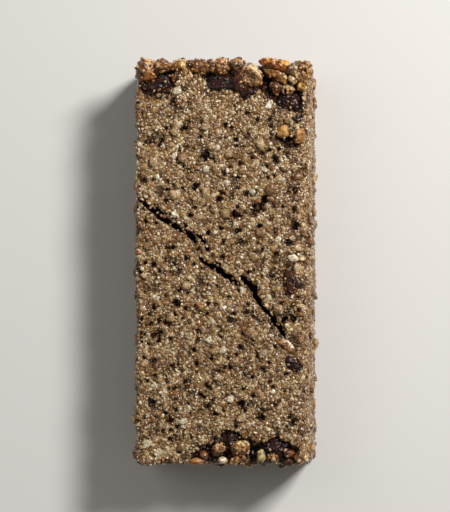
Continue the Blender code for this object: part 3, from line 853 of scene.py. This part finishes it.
# %% Grain: the large ones that stand out
PUFFS = (
    # x and y in mm of the pale puffs on the top
    (-10.6, 40.4), (11.0, 36.7), (-1.4, 27.0), (-11.3, 25.1), (-3.5, 21.9), (-3.1, -18.1), (0.5, -20.4),
    (9.6, -21.4), (-16.0, -28.9), (2.1, -32.0), (-9.2, -37.4), (-14.8, -44.9), (-17.6, -42.8),
    (-11.1, 11.3), (-15.3, 20.0), (1.2, 18.6), (3.3, 8.9), (7.2, 16.4), (9.9, 21.8), (10.2, -1.9),
    (-2.4, -14.1), (0.3, -10.8), (-15.3, -8.5), (14.4, 19.4), (13.2, 5.3), (11.0, -8.5), (5.0, -6.6),
)
LARGER_PUFFS, PUFF_SIZES, PUFF_TOP = 13, (2.0 * MM, 1.5 * MM), 0.16 * MM
TALL, GROUP = 0.35 * MM, 1.7 * MM
STANDING_SIZE, MOST_TOP = 2.15 * MM, 0.85 * MM


def skin_at(point):
    """The nearest place on the uncut slab, and the direction that it faces."""
    spot, normal, _, _ = uncut.find_nearest(Vector(point))
    return spot, normal


def standing_grains():
    """Each large grain of the solids: its place on the skin, the direction out, size, detail and height."""
    points = np.unique(np.round(points_of(frame["nodes"]["pressed_block"].data), 6), axis=0)
    heights = []
    for p in points:
        spot, normal = skin_at(p)
        heights.append((Vector(p) - spot).dot(normal))
    left = [(h, Vector(p)) for h, p in sorted(zip(heights, points.tolist()), reverse=True) if h > TALL]
    made = []
    while left:
        top = left[0]
        group = [p for _, p in left if (p - top[1]).length < GROUP]
        left = [row for row in left if (row[1] - top[1]).length >= GROUP]
        if len(group) > 1:
            spot, normal = skin_at(sum(group, Vector()) / len(group))
            made.append((spot, normal, STANDING_SIZE, "most", min(top[0], MOST_TOP)))
    return made


large = standing_grains()
puffs = []
for x, y in PUFFS:
    spot, normal = skin_at(on_top(x, y))
    puffs.append((spot, normal, PUFF_SIZES[len(puffs) >= LARGER_PUFFS], "most", PUFF_TOP))
print("large grains:", len(large), "and pale puffs:", len(puffs))

# %% Grain: sizes, from large to fine
SIZES = (
    # least and greatest diameter in mm, most grains, how tightly they pack, detail
    (1.5, 2.1, 170, 1.3, "many"),
    (1.12, 1.5, 900, 1.05, "many"),
    (0.85, 1.12, 2700, 0.95, "some"),
    (0.60, 0.85, 5200, 0.92, "some"),
    (0.40, 0.60, 8000, 0.90, "few"),
)
LEAST_ROOM, MOST_RISE = 0.40, 0.16


def place_grains(packing):
    """The place, direction, size, detail and height of every grain on the skin, largest first."""
    draw = random.Random(3)
    made = []
    chosen = np.flatnonzero(outer)
    ready = list(zip(map(tuple, skin[chosen]), skin_room[chosen]))
    for least, greatest, most, tightness, detail in SIZES:
        kept = 0
        for point, room in draw.sample(ready, len(ready)):
            size = draw.uniform(least, greatest) * MM
            if room > LEAST_ROOM * size and packing.has_room(point, size / 2, tightness):
                packing.add(point, size / 2)
                top = draw.uniform(0.0, MOST_RISE) * MM + size * 0.07
                made.append((*skin_at(point), size, detail, top))
                kept += 1
                if kept == most:
                    break
        print(f"grains of {least} to {greatest} mm: {kept}")
    return made


SET_CLOSE = 0.8
packing = Packing(2.4 * MM)
for spot, _, size, _, _ in large + puffs:
    packing.add(tuple(spot), size / 2 * SET_CLOSE)
grains = place_grains(packing)

# %% [markdown]
# Each grain is turned at random, set on the skin with its top just above it, and given a colour.
# Most are beige, some are cream, and some are toasted or stained by syrup. One side of a grain
# is darker, because syrup gathers there. All that is below its middle is darker too: syrup gathers
# there, and shade is painted there as well. These colours are stored on the points.

# %% Grain: kinds and their colours
KINDS = {
    # share of all grains, and the two colours between which each grain's own lies
    "cream_puffs": (0.15, (212, 201, 172), (184, 168, 134)),
    "beige_puffs": (0.30, (178, 152, 112), (150, 122, 82)),
    "tan_puffs": (0.29, (156, 124, 80), (126, 96, 56)),
    "toasted_puffs": (0.18, (130, 94, 54), (100, 68, 34)),
    "amber_puffs": (0.08, (156, 110, 54), (120, 78, 34)),
}
# The pale puffs of the top have a kind of their own, which no share of the others goes to.
SOFT_PUFFS = (0.0, (206, 199, 178), (178, 166, 142))
# how much of a colour is left on a grain's brown side, where syrup has soaked in, and below its middle,
# where syrup gathers and shade is painted too
SYRUP_AND_SHADE = np.array((0.65, 0.50, 0.32))
SOAKED = np.array((0.40, 0.26, 0.18))
STAINS = (
    # x, y and radius in mm of places near the tray's side where syrup has soaked in
    (17.3, 23.8, 1.3), (17.2, 17.3, 1.5), (16.4, 11.6, 1.2), (17.0, 7.7, 1.6), (15.3, 4.7, 0.9),
    (15.0, 0.0, 1.4), (18.2, -5.5, 1.8), (16.8, -8.4, 1.2), (17.0, -17.8, 1.6), (17.0, -34.3, 1.1),
)
# how much of red, green and blue is lost in patches, at the lower end and at the tray's side
PATCHED = np.array((0.20, 0.27, 0.36))
LOWER_END = np.array((0.13, 0.16, 0.24))
TRAY_SIDE = np.array((0.04, 0.14, 0.30))
LEAST_SQUEEZE, MOST_SQUEEZE = (0.80, 0.80, 0.50), (1.3, 1.3, 0.8)


def turned(normals, draw):
    """A turn for each grain: its own top towards the normal, leaned and spun at random."""
    count = len(normals)
    up = normals + draw.normal(0, 0.25, (count, 3))
    up /= np.linalg.norm(up, axis=1, keepdims=True)
    side = np.cross(up, draw.normal(0, 1, (count, 3)))
    side /= np.linalg.norm(side, axis=1, keepdims=True)
    return np.stack((side, np.cross(up, side), up), axis=2)


def mesh_of(name, points, faces, colours):
    """A mesh object made from arrays, with a colour on each point."""
    mesh = bpy.data.meshes.new(name)
    mesh.vertices.add(len(points))
    mesh.vertices.foreach_set("co", points.astype(np.float32).ravel())
    mesh.loops.add(faces.size)
    mesh.loops.foreach_set("vertex_index", faces.astype(np.int32).ravel())
    mesh.polygons.add(len(faces))
    mesh.polygons.foreach_set("loop_start", np.arange(0, faces.size, 3, dtype=np.int32))
    mesh.update(calc_edges=True)
    store_tint(mesh, colours)
    return in_scene(name, mesh)


def store_tint(mesh, colours):
    """Stores a colour on each point of a mesh."""
    tint = mesh.color_attributes.new("tint", "FLOAT_COLOR", "POINT")
    rgba = np.ones((len(mesh.vertices), 4), np.float32)
    rgba[:, :3] = colours
    tint.data.foreach_set("color", rgba.ravel())


def stain(points):
    """A factor on colour for each place: browner in patches, stains, the lower end and the tray's side."""
    patches = noise_at(points, 5 * MM) + 0.6 * noise_at(points, 2 * MM)
    made = 1 - np.clip(0.5 + 0.9 * patches, 0, 1)[:, None] * PATCHED
    lower = smooth_step(points[:, 1], 40 * MM, -40 * MM)[:, None]
    made *= 1.06 - lower * LOWER_END
    ragged = 0.5 * noise_at(points, 1.0 * MM)
    for x, y, radius in STAINS:
        away = away_from(points, x, y) / (radius * MM)
        made *= 1 - (1 - smooth_step(away + ragged, 0.6, 1.2))[:, None] * (1 - SOAKED)
    tray = smooth_step(points[:, 0], 16.5 * MM, 20 * MM)[:, None]
    return made * (1 - tray * TRAY_SIDE)


def build_grains(name, rows, colours, seed_number):
    """One mesh from all grains of a kind."""
    draw = np.random.default_rng(seed_number)
    all_points, all_faces, all_colours, start = [], [], [], 0
    for detail, (faces, versions) in SHAPES.items():
        for version, base in enumerate(versions):
            chosen = [i for i, row in enumerate(rows) if row[3] == detail and i % VERSIONS == version]
            if not chosen:
                continue
            count = len(chosen)
            spots = np.array([rows[i][0] for i in chosen])
            normals = np.array([rows[i][1] for i in chosen])
            sizes, tops = np.array([(rows[i][2], rows[i][4]) for i in chosen]).T
            scale = sizes[:, None] / 2 * draw.uniform(LEAST_SQUEEZE, MOST_SQUEEZE, (count, 3))
            centre = spots + normals * (tops - scale[:, 2] * 0.8)[:, None]
            points = np.einsum("nij,nvj->nvi", turned(normals, draw), base[None] * scale[:, None])
            sides = draw.normal(0, 1, (count, 3))
            sides /= np.linalg.norm(sides, axis=1, keepdims=True)
            brown_side = smooth_step(np.einsum("nj,vj->nv", sides, base), 0.0, 0.9) * draw.random((count, 1))
            # Below its middle a grain is darker: syrup there, and painted shade where it sinks into the bed.
            syrup_and_painted_shade = np.maximum(1 - smooth_step(base[:, 2], -0.5, 0.5)[None], 0.85 * brown_side)[..., None]
            all_points.append((points + centre[:, None]).reshape(-1, 3))
            all_colours.append((colours[chosen][:, None] * (1 - syrup_and_painted_shade * (1 - SYRUP_AND_SHADE))).reshape(-1, 3))
            offsets = start + np.arange(count) * len(base)
            all_faces.append((faces[None] + offsets[:, None, None]).reshape(-1, 3))
            start += count * len(base)
    points = np.concatenate(all_points)
    points[:, 2] = np.maximum(points[:, 2], 0.0)
    return mesh_of(name, points, np.concatenate(all_faces), np.concatenate(all_colours))


# %% Finishes: puffed grain
MOTTLE = ((0.32, (0.50, 0.42, 0.33)), (0.50, (0.96, 0.94, 0.92)), (0.68, (1.25, 1.27, 1.30)))


def grain_finish(name, coat, roughness=0.5, mottle=MOTTLE, size=0.6 * MM, specks=0.0, folds=0.35 * MM):
    """A stored colour, made uneven by noise, under a coat of syrup; where specks is given, painted glints
    and dark specks are scattered over the colour.
    """
    made, tree, shader = new_finish(name, roughness, coat, 0.07)
    uneven = ramp_of(tree, noise_node(tree, size, 4, 0.6).outputs["Fac"], mottle)
    both = product_of(tree, stored_node(tree, "tint").outputs["Color"], uneven)
    if specks:
        both = add_specks(tree, both, specks)
    tree.links.new(both, shader.inputs["Base Color"])
    add_bump(tree, shader, noise_node(tree, folds).outputs["Fac"], 0.16 * MM)
    return made


# %% Grain: small ones on the sides of the crack
CRACK_SHARE, CRACK_SIZES, CRACK_BESIDE = 0.34, (0.4, 0.8), (-0.12, 0.2)


def crack_rows():
    """Small grains on the rims of the crack and just inside them, so that it looks torn."""
    draw, made = random.Random(31), []
    for route in TORN:
        for (x0, y0, width), (x1, y1, _) in zip(route, route[1:]):
            for side in (-1, 1):
                if draw.random() > CRACK_SHARE:
                    continue
                along = Vector((x1 - x0, y1 - y0, 0)).normalized()
                across = Vector((-along.y, along.x, 0)) * side * (width / 2 + draw.uniform(*CRACK_BESIDE))
                place = (Vector((x0, y0, 0)) + across) * MM + Vector((0, 0, THICKNESS)) + SHIFT
                spot, normal = skin_at(place)
                size = draw.uniform(*CRACK_SIZES) * MM
                made.append((spot - normal * draw.uniform(0.0, 0.7) * MM, normal, size, "some", 0.2 * size))
    return made


# %% Grain: build each kind
def deal(rows, kinds, seed_number):
    """Deals rows out to kinds by their shares."""
    draw = random.Random(seed_number)
    names = list(kinds)
    shares = [kinds[name][0] for name in names]
    dealt = {name: [] for name in names}
    for row in rows:
        dealt[draw.choices(names, shares)[0]].append(row)
    return dealt


def colours_between(count, light, dark, seed_number):
    """A colour for each of a number of grains, at random between two."""
    mixed = np.random.default_rng(seed_number).random((count, 1))
    return np.array(linear(*light)) * mixed + np.array(linear(*dark)) * (1 - mixed)


kinds = deal(grains + crack_rows(), KINDS, 8)
tinted = {name: row for name, row in KINDS.items() if name != "cream_puffs"}
for name, rows in deal(large, tinted, 9).items():
    kinds[name] += rows
KINDS["soft_puffs"], kinds["soft_puffs"] = SOFT_PUFFS, puffs
for number, (name, rows) in enumerate(kinds.items()):
    own = colours_between(len(rows), *KINDS[name][1:], number) * stain(np.array([row[0] for row in rows]))
    finish = grain_finish(f"{name}_finish", 1.0, specks=0.64)
    hand_over(build_grains(name, rows, own, number), "pressed_grain", finish)

# %% [markdown]
# ## Crumbs in the hollows
#
# Where the bar has broken out, the mass is dark with syrup and full of small sticky bits that
# catch the light. They are copies of the same balls, set on the hollows' own surface, mostly near
# black, with a few brown and tan ones among them.

# %% Crumbs: in the hollows
HOLLOW_CRUMBS = {
    # share of the crumbs, and the two colours between which each lies
    "sticky_crumbs": (0.66, (46, 22, 11), (15, 5, 2)),
    "brown_bits": (0.25, (98, 62, 34), (58, 32, 16)),
    "tan_bits": (0.09, (150, 120, 80), (110, 80, 46)),
}
HOLLOW_SIZES = (
    # least and greatest diameter in mm, and most crumbs
    (0.9, 1.5, 260),
    (0.5, 0.9, 700),
)
bed_tree = tree_of(slab.data)


def hollow_rows():
    """The crumbs on the walls and floors of the hollows."""
    draw = random.Random(12)
    deep = (skin_depth > 0.8 * MM) & (skin[:, 2] > THICKNESS - 6 * MM) & (crack_room > 0.9 * MM)
    chosen = np.flatnonzero(deep)
    spots = list(zip(map(tuple, skin[chosen]), nut_room[chosen]))
    packing, made = Packing(1.6 * MM), []
    for least, greatest, most in HOLLOW_SIZES:
        kept = 0
        for point, room in draw.sample(spots, len(spots)):
            size = draw.uniform(least, greatest) * MM
            if kept < most and room > 0.2 * size and packing.has_room(point, size / 2, 0.85):
                packing.add(point, size / 2)
                spot, normal, _, _ = bed_tree.find_nearest(Vector(point))
                made.append((spot, normal, size, "some", 0.5 * size))
                kept += 1
    return made


for number, (name, rows) in enumerate(deal(hollow_rows(), HOLLOW_CRUMBS, 4).items()):
    own = colours_between(len(rows), *HOLLOW_CRUMBS[name][1:], number)
    crumbs = build_grains(name, rows, own, 40 + number)
    hand_over(crumbs, "pressed_grain", grain_finish(f"{name}_finish", 0.6, 0.6))

# %% [markdown]
# ## Nuts, seeds and fruit
#
# The solids give each piece's form with a few flat faces. A copy of the solid is merged, divided
# and smoothed, and then pushed in and out by textures: coarse and crumbly for a chopped nut, faint
# for a seed, and in folds for a dried fruit. That keeps every form and gap, and is quicker than
# modelling the pieces again. Each gets its own two colours in patches, stored on the points.


# %% Nuts: refine a copy of a solid
def refined_copy(node, levels):
    """A copy of a solid with its points merged, divided and smoothed."""
    mesh = frame["nodes"][node].data.copy()
    piece = in_scene(node + "_made", mesh)
    mesh.name = piece.name
    edit_all(piece, bpy.ops.mesh.remove_doubles, threshold=0.01 * MM)
    fine = piece.modifiers.new("fine", "SUBSURF")
    fine.levels = fine.render_levels = levels
    apply_all(piece)
    return piece


def roughen(piece, basis, size, height, group=""):
    """Pushes a piece's surface in and out by noise, all over or in one group of points."""
    texture = bpy.data.textures.new(f"{piece.name}_{basis}", "CLOUDS")
    texture.noise_basis, texture.noise_scale, texture.noise_depth = basis, size * MM, 2
    push = piece.modifiers.new("rough", "DISPLACE")
    push.texture, push.texture_coords, push.mid_level = texture, "LOCAL", 0.5
    push.strength, push.vertex_group = height * MM, group
    apply_all(piece)


FORMS = {
    # kind of noise, its size and its height in mm, for each push
    "nut": (("BLENDER_ORIGINAL", 1.5, 0.8), ("VORONOI_F1", 1.0, -0.3), ("BLENDER_ORIGINAL", 0.45, 0.18)),
    "seed": (("BLENDER_ORIGINAL", 1.2, 0.25),),
    "sliver": (("BLENDER_ORIGINAL", 1.0, 0.35),),
    "peel": (("BLENDER_ORIGINAL", 1.5, 0.8), ("VORONOI_F1", 1.0, -0.5)),
    "fruit": (("BLENDER_ORIGINAL", 1.7, 1.0), ("VORONOI_CRACKLE", 1.4, 0.4), ("BLENDER_ORIGINAL", 0.5, 0.4)),
}

# %% Nuts: how each one looks
# The pale rim is put on the side that faces this way, towards the light: partly the piece's own pale edge
# and partly painted highlight.
UPPER_RIGHT = np.array(Vector((0.55, 0.75, 0.35)).normalized())
# how much of a colour is left in the painted shade on a piece's underside and on its side away from the
# light
SHADED = np.array((0.50, 0.36, 0.24))
LOOKS = {
    # form, dark and light colour, size of the patches in mm, and the colour of a pale rim towards the light,
    # partly the piece's own pale edge and partly painted highlight, or none
    "nut_top_left": ("nut", (88, 44, 16), (152, 98, 46), 2.0, (208, 162, 100)),
    "nut_top_golden": ("nut", (118, 76, 32), (184, 142, 78), 1.4, (224, 192, 126)),
    "nut_top_brown": ("nut", (84, 48, 24), (154, 104, 60), 1.1, None),
    "nut_top_middle": ("nut", (98, 56, 26), (176, 122, 66), 1.1, None),
    "half_nut": ("nut", (96, 60, 32), (178, 136, 90), 0.5, (222, 190, 144)),
    "nut_top_round": ("nut", (88, 44, 22), (146, 92, 54), 1.2, None),
    "nut_edge_inner": ("nut", (138, 88, 38), (200, 152, 86), 1.4, None),
    "nut_edge_outer": ("nut", (138, 88, 38), (200, 152, 86), 1.4, None),
    "nut_bottom_left": ("nut", (84, 52, 26), (150, 108, 64), 1.0, (196, 160, 112)),
    "nut_bottom_big": ("nut", (90, 52, 22), (148, 104, 56), 1.6, (214, 184, 134)),
    "nut_bottom_pebble": ("nut", (118, 84, 50), (172, 136, 92), 0.8, None),
    "nut_edge_pale": ("seed", (190, 172, 138), (232, 222, 198), 0.8, None),
    "almond_sliver_top": ("sliver", (108, 68, 20), (170, 116, 44), 0.9, (236, 214, 160)),
    "almond_sliver_crack": ("sliver", (96, 54, 18), (164, 118, 62), 1.1, (240, 230, 200)),
    "seed_top_pale": ("seed", (166, 136, 96), (224, 200, 156), 0.9, None),
    "seed_bottom_pale": ("seed", (150, 126, 96), (216, 198, 168), 0.9, None),
    "seed_top_yellow": ("seed", (156, 108, 34), (224, 182, 92), 1.2, None),
    "seed_edge": ("seed", (98, 58, 26), (158, 108, 58), 0.9, None),
    "seed_bottom_orange": ("seed", (98, 58, 22), (160, 106, 50), 1.2, None),
    "seed_bottom_amber": ("seed", (84, 48, 20), (138, 90, 46), 1.0, None),
    "seed_bottom_green": ("seed", (122, 106, 62), (188, 172, 116), 1.0, None),
    "seed_bottom_red": ("seed", (58, 22, 8), (138, 74, 28), 1.0, None),
    "candied_peel": ("peel", (104, 48, 8), (162, 94, 24), 1.1, (212, 154, 62)),
    "fruit_edge": ("fruit", (24, 7, 3), (78, 36, 15), 1.0, None),
}
FRUIT_LOOK = ("fruit", (8, 2, 1), (48, 15, 6), 1.3, None)
LIGHT_WAY = np.array((0.45, 0.89, 0))
print("looks:", len(LOOKS), "and the fruit")


def paint(piece, dark, light, patch, rim):
    """Stores a piece's colours on its points: patches, a pale rim on the side facing the light, partly the
    piece's own pale edge and partly painted highlight, and painted shade on the underside and on the side
    away from the light.
    """
    points, normals = points_of(piece.data), normals_of(piece.data)
    mixed = smooth_step(noise_at(points, patch * MM), -0.3, 0.35)[:, None]
    own = np.array(linear(*dark)) * (1 - mixed) + np.array(linear(*light)) * mixed
    # Pale rim on the side facing the light: the piece's own pale edge in part, and painted highlight in
    # part.
    if rim:
        edge = smooth_step(normals @ UPPER_RIGHT, 0.62, 0.9)[:, None]
        own = own * (1 - edge) + np.array(linear(*rim)) * edge
    # Painted shade: darker on the underside and on the side away from the light.
    middle, reach = points.mean(axis=0), np.ptp(points[:, :2], axis=0).max() / 2
    along = (points - middle) @ LIGHT_WAY / reach
    lit = np.minimum(smooth_step(normals[:, 2], -0.3, 0.5), smooth_step(along, -0.95, 0.0))[:, None]
    store_tint(piece.data, own * (SHADED + (1 - SHADED) * lit))


# %% Nuts: the cut face of the half nut
FACE_OUT = np.array(Vector((-0.233, -0.333, 0.914)))


def carve_cut_face(piece):
    """Roughens the half nut's flat face, inside its rim."""
    points = points_of(piece.data)
    rise = points @ FACE_OUT
    middle = points[rise > rise.max() - 1.2 * MM].mean(axis=0)
    across = points - middle
    across -= (across @ FACE_OUT)[:, None] * FACE_OUT
    on_face = (rise > rise.max() - 1.3 * MM) & (np.linalg.norm(across, axis=1) < 2.1 * MM)
    group = piece.vertex_groups.new(name="cut_face")
    group.add(np.flatnonzero(on_face).tolist(), 1.0, "REPLACE")
    roughen(piece, "VORONOI_F1", 0.5, 0.7, "cut_face")
    print("cut face:", int(on_face.sum()), "points")


# %% Nuts: make them all
NUT_MOTTLE = ((0.32, (0.58, 0.50, 0.40)), (0.50, (1.0, 0.98, 0.96)), (0.68, (1.2, 1.2, 1.2)))
FINISHES = {
    slot: grain_finish(slot, 1.0, 0.35, NUT_MOTTLE, 0.6 * MM)
    for slot in ("roasted_nut", "pale_nut", "amber_seed", "candied_orange")
}
FINISHES["dark_fruit"] = grain_finish("dark_fruit", 0.45, 0.9, NUT_MOTTLE, 0.5 * MM, 0.73, 1.1 * MM)
made_pieces = {}
for node in PIECES:
    form, dark, light, patch, rim = LOOKS.get(node, FRUIT_LOOK)
    piece = refined_copy(node, 2 if form == "seed" else 3)
    if node == "half_nut":
        roughen(piece, "BLENDER_ORIGINAL", 1.6, 0.7)
        carve_cut_face(piece)
    else:
        for basis, size, height in FORMS[form]:
            roughen(piece, basis, size, height)
    paint(piece, dark, light, patch, rim)
    hand_over(piece, SLOTS[node], FINISHES[SLOTS[node]], node)
    made_pieces[node] = piece

# %% [markdown]
# A few bits of fruit are too small to have a solid of their own: some at the tray's side, one at
# the bottom end, and brown folds of skin beside the half nut. One of the balls with most faces
# serves for each, and is pushed into folds like the fruit.

# %% Fruit: small bits
FRUIT_BITS = (
    # x and y, size, and top over the slab's top, all in mm
    (17.6, 33.9, 1.9, 0.1), (17.6, -18.6, 1.6, 0.1), (3.7, 43.6, 2.6, -0.1), (4.2, 41.8, 3.4, -0.5),
    (5.6, 40.4, 3.2, -0.7), (7.8, 40.2, 2.6, -0.9), (15.6, -0.4, 2.2, 0.1), (17.9, -5.2, 2.0, 0.1),
    (15.4, -47.0, 1.8, -0.9),
)
FRUIT_BIT_COLOURS = (68, 34, 17), (30, 11, 5)
up = Vector((0, 0, 1))
bit_rows = [(on_top(x, y), up, size * MM, "most", top * MM) for x, y, size, top in FRUIT_BITS]
bits = build_grains("fruit_bits", bit_rows, colours_between(len(bit_rows), *FRUIT_BIT_COLOURS, 3), 90)
roughen(bits, "BLENDER_ORIGINAL", 1.1, 0.8)
roughen(bits, "VORONOI_CRACKLE", 0.9, 0.3)
hand_over(bits, "dark_fruit", FINISHES["dark_fruit"])
made_pieces["fruit_bits"] = bits

# %% [markdown]
# Chopped nuts are never clean: syrup glues crumbs on them. Crumbs are strewn over the nuts, and
# heaped between them where the photograph's row of nuts has no gaps.

# %% Crumbs: on the nuts, and heaped between them
CRUMBS = {
    # slot, and the two colours between which each crumb's own lies
    "golden_crumbs": ("roasted_nut", (190, 140, 76), (126, 82, 38)),
    "brown_crumbs": ("roasted_nut", (124, 82, 46), (72, 40, 18)),
    "pale_crumbs": ("pale_nut", (206, 182, 138), (156, 126, 84)),
}
STREWN = {
    # crumbs of each kind on a piece: golden, brown and pale
    "nut_top_left": (26, 12, 4), "nut_top_golden": (10, 4, 4), "nut_top_brown": (18, 26, 3),
    "nut_top_middle": (20, 20, 3), "half_nut": (4, 8, 0), "nut_top_round": (4, 14, 5),
    "nut_bottom_left": (4, 12, 0), "nut_bottom_big": (6, 8, 6), "nut_bottom_pebble": (4, 4, 0),
    "nut_edge_inner": (4, 0, 6), "nut_edge_outer": (4, 0, 6), "candied_peel": (8, 2, 0),
    "fruit_top_left": (2, 20, 5), "fruit_top_middle": (2, 18, 5), "fruit_top_right": (2, 16, 5),
    "fruit_bottom_middle": (0, 0, 3), "fruit_bottom_right": (0, 6, 3), "nut_edge_pale": (0, 0, 3),
    "fruit_edge": (3, 20, 4), "fruit_crack": (2, 8, 3), "seed_edge": (2, 6, 2),
    "seed_top_pale": (3, 4, 2), "seed_top_yellow": (2, 3, 1), "almond_sliver_top": (6, 5, 2),
    "seed_bottom_red": (2, 3, 1), "seed_bottom_green": (1, 2, 1), "fruit_bits": (4, 26, 5),
}
HEAPS = (
    # middle x and y, top over the slab's top, half sizes, all in mm, and crumbs of each kind
    (-14.1, 46.2, 0.4, (2.0, 1.6, 1.6), (34, 50, 2)),
    (-10.6, 43.4, -0.5, (1.6, 1.1, 1.2), (6, 36, 3)),
    (-8.4, 43.9, 0.1, (1.2, 1.7, 1.3), (50, 14, 30)),
    (-7.6, 46.0, 0.0, (1.3, 1.5, 1.5), (12, 36, 0)),
    (-2.6, 46.2, 0.1, (1.3, 1.5, 1.5), (20, 30, 2)),
    (3.6, 46.6, 0.2, (1.8, 1.4, 1.6), (22, 36, 2)),
    (19.0, 44.8, 0.2, (2.2, 2.8, 1.6), (70, 34, 34)),
    (15.4, 40.5, -0.3, (1.5, 1.2, 1.2), (4, 26, 14)),
    (18.8, -46.0, 0.1, (1.7, 1.3, 1.3), (16, 4, 34)),
    (-20.2, -44.9, 0.0, (0.7, 1.6, 1.0), (4, 18, 0)),
    (4.4, -45.9, -0.8, (1.6, 0.9, 1.0), (8, 20, 0)),
    (11.9, -46.1, -0.9, (1.5, 1.3, 1.1), (4, 30, 4)),
)
STREWN_SIZES, HEAPED_SIZES = (0.35, 0.85), (0.5, 1.15)


def crumbs_on(piece, count, seed_number):
    """Rows for crumbs at random on the upper side of a piece."""
    draw, tree, packing, made = random.Random(seed_number), tree_of(piece.data), Packing(1.0 * MM), []
    for point in surface_samples(piece.data, count * 20, seed_number):
        spot, normal, _, _ = tree.find_nearest(Vector(point))
        size = draw.uniform(*STREWN_SIZES) * MM
        if len(made) < count and normal.z > 0.05 and packing.has_room(tuple(spot), size / 2, 0.8):
            packing.add(tuple(spot), size / 2)
            made.append((spot, normal, size, "some", 0.5 * size))
    return made


def crumbs_in_heap(heap, count, seed_number):
    """Rows for crumbs at random over a small mound."""
    x, y, top, halves, _ = heap
    draw, made = random.Random(seed_number), []
    middle = on_top(x, y, top - halves[2])
    for _ in range(count):
        out = Vector((draw.gauss(0, 1), draw.gauss(0, 1), abs(draw.gauss(0, 1)) - 0.2)).normalized()
        spot = middle + Vector((out[i] * halves[i] * draw.uniform(0.75, 1.0) * MM for i in range(3)))
        size = draw.uniform(*HEAPED_SIZES) * MM
        made.append((spot, out, size, "some", 0.35 * size))
    return made


def all_crumbs(kind_number):
    """Every crumb of one kind, on the nuts and in the heaps."""
    rows = []
    for i, (node, counts) in enumerate(STREWN.items()):
        if counts[kind_number]:
            rows += crumbs_on(made_pieces[node], counts[kind_number], 10 * i + kind_number)
    for i, heap in enumerate(HEAPS):
        rows += crumbs_in_heap(heap, heap[4][kind_number], 500 + 10 * i + kind_number)
    return rows


for number, (name, (slot, light, dark)) in enumerate(CRUMBS.items()):
    rows = all_crumbs(number)
    crumbs = build_grains(name, rows, colours_between(len(rows), light, dark, number), 60 + number)
    hand_over(crumbs, slot, grain_finish(f"{name}_finish", 0.8, 0.5))

# %% [markdown]
# ## Floor, light and camera
#
# The light is soft and comes from the upper right, so that each grain has a small highlight there
# and its shadow on the other side. The camera looks down from high up, tipped a little to the
# tray's side, so a strip of that side shows.

# %% Floor
bpy.ops.object.select_all(action="DESELECT")
bpy.ops.mesh.primitive_plane_add(size=3.0, location=(0, 0, -0.02 * MM))
floor = bpy.context.object
floor.name = "floor"
floor_finish, _, floor_shader = new_finish("pale_floor", 0.8, 0.0)
floor_shader.inputs["Base Color"].default_value = (0.60, 0.58, 0.55, 1)
floor.data.materials.append(floor_finish)


# %% Light
BAR_MIDDLE = Vector((0, 0, 0.01))


def soft_light(name, size, power, direction, distance):
    """A square soft light that looks at the bar."""
    data = bpy.data.lights.new(name, "AREA")
    data.size, data.energy = size, power
    lamp = in_scene(name, data)
    lamp.location = Vector(direction).normalized() * distance + BAR_MIDDLE
    lamp.rotation_euler = (BAR_MIDDLE - lamp.location).to_track_quat("-Z", "Y").to_euler()


soft_light("key", 0.15, 4.8, (0.55, 0.5, 0.75), 0.6)
soft_light("fill", 0.5, 1.0, (-0.5, 0.3, 0.8), 0.9)
world = bpy.data.worlds.new("room")
bpy.context.scene.world = world
world.use_nodes = True
background = world.node_tree.nodes["Background"]
background.inputs["Color"].default_value = (1.0, 0.98, 0.95, 1)
background.inputs["Strength"].default_value = 0.2
print("lights: a key light, a fill light and the room")

# %% Camera
PICTURE_MIDDLE, FIRST_POINT, PICTURE_HEIGHT = (225, 256), (222, 262), 512
PIXEL, SENSOR = 0.235 * MM, 36
DISTANCE, TIP = 0.8, math.radians(2.6)


def make_camera():
    """A camera high above the bar, tipped towards the tray's side."""
    data = bpy.data.cameras.new("camera")
    camera = in_scene("camera", data)
    right, up = PICTURE_MIDDLE[0] - FIRST_POINT[0], FIRST_POINT[1] - PICTURE_MIDDLE[1]
    aim = Vector((right * PIXEL, up * PIXEL, THICKNESS)) + SHIFT
    back = Vector((math.sin(TIP), 0, math.cos(TIP)))
    camera.location = aim + back * DISTANCE
    camera.rotation_euler = (0, TIP, 0)
    data.sensor_width = SENSOR
    data.lens = SENSOR * DISTANCE / (PICTURE_HEIGHT * PIXEL)
    bpy.context.scene.camera = camera
    print("camera:", round(data.lens), "mm lens")


make_camera()
bpy.context.scene.view_settings.view_transform = "Standard"
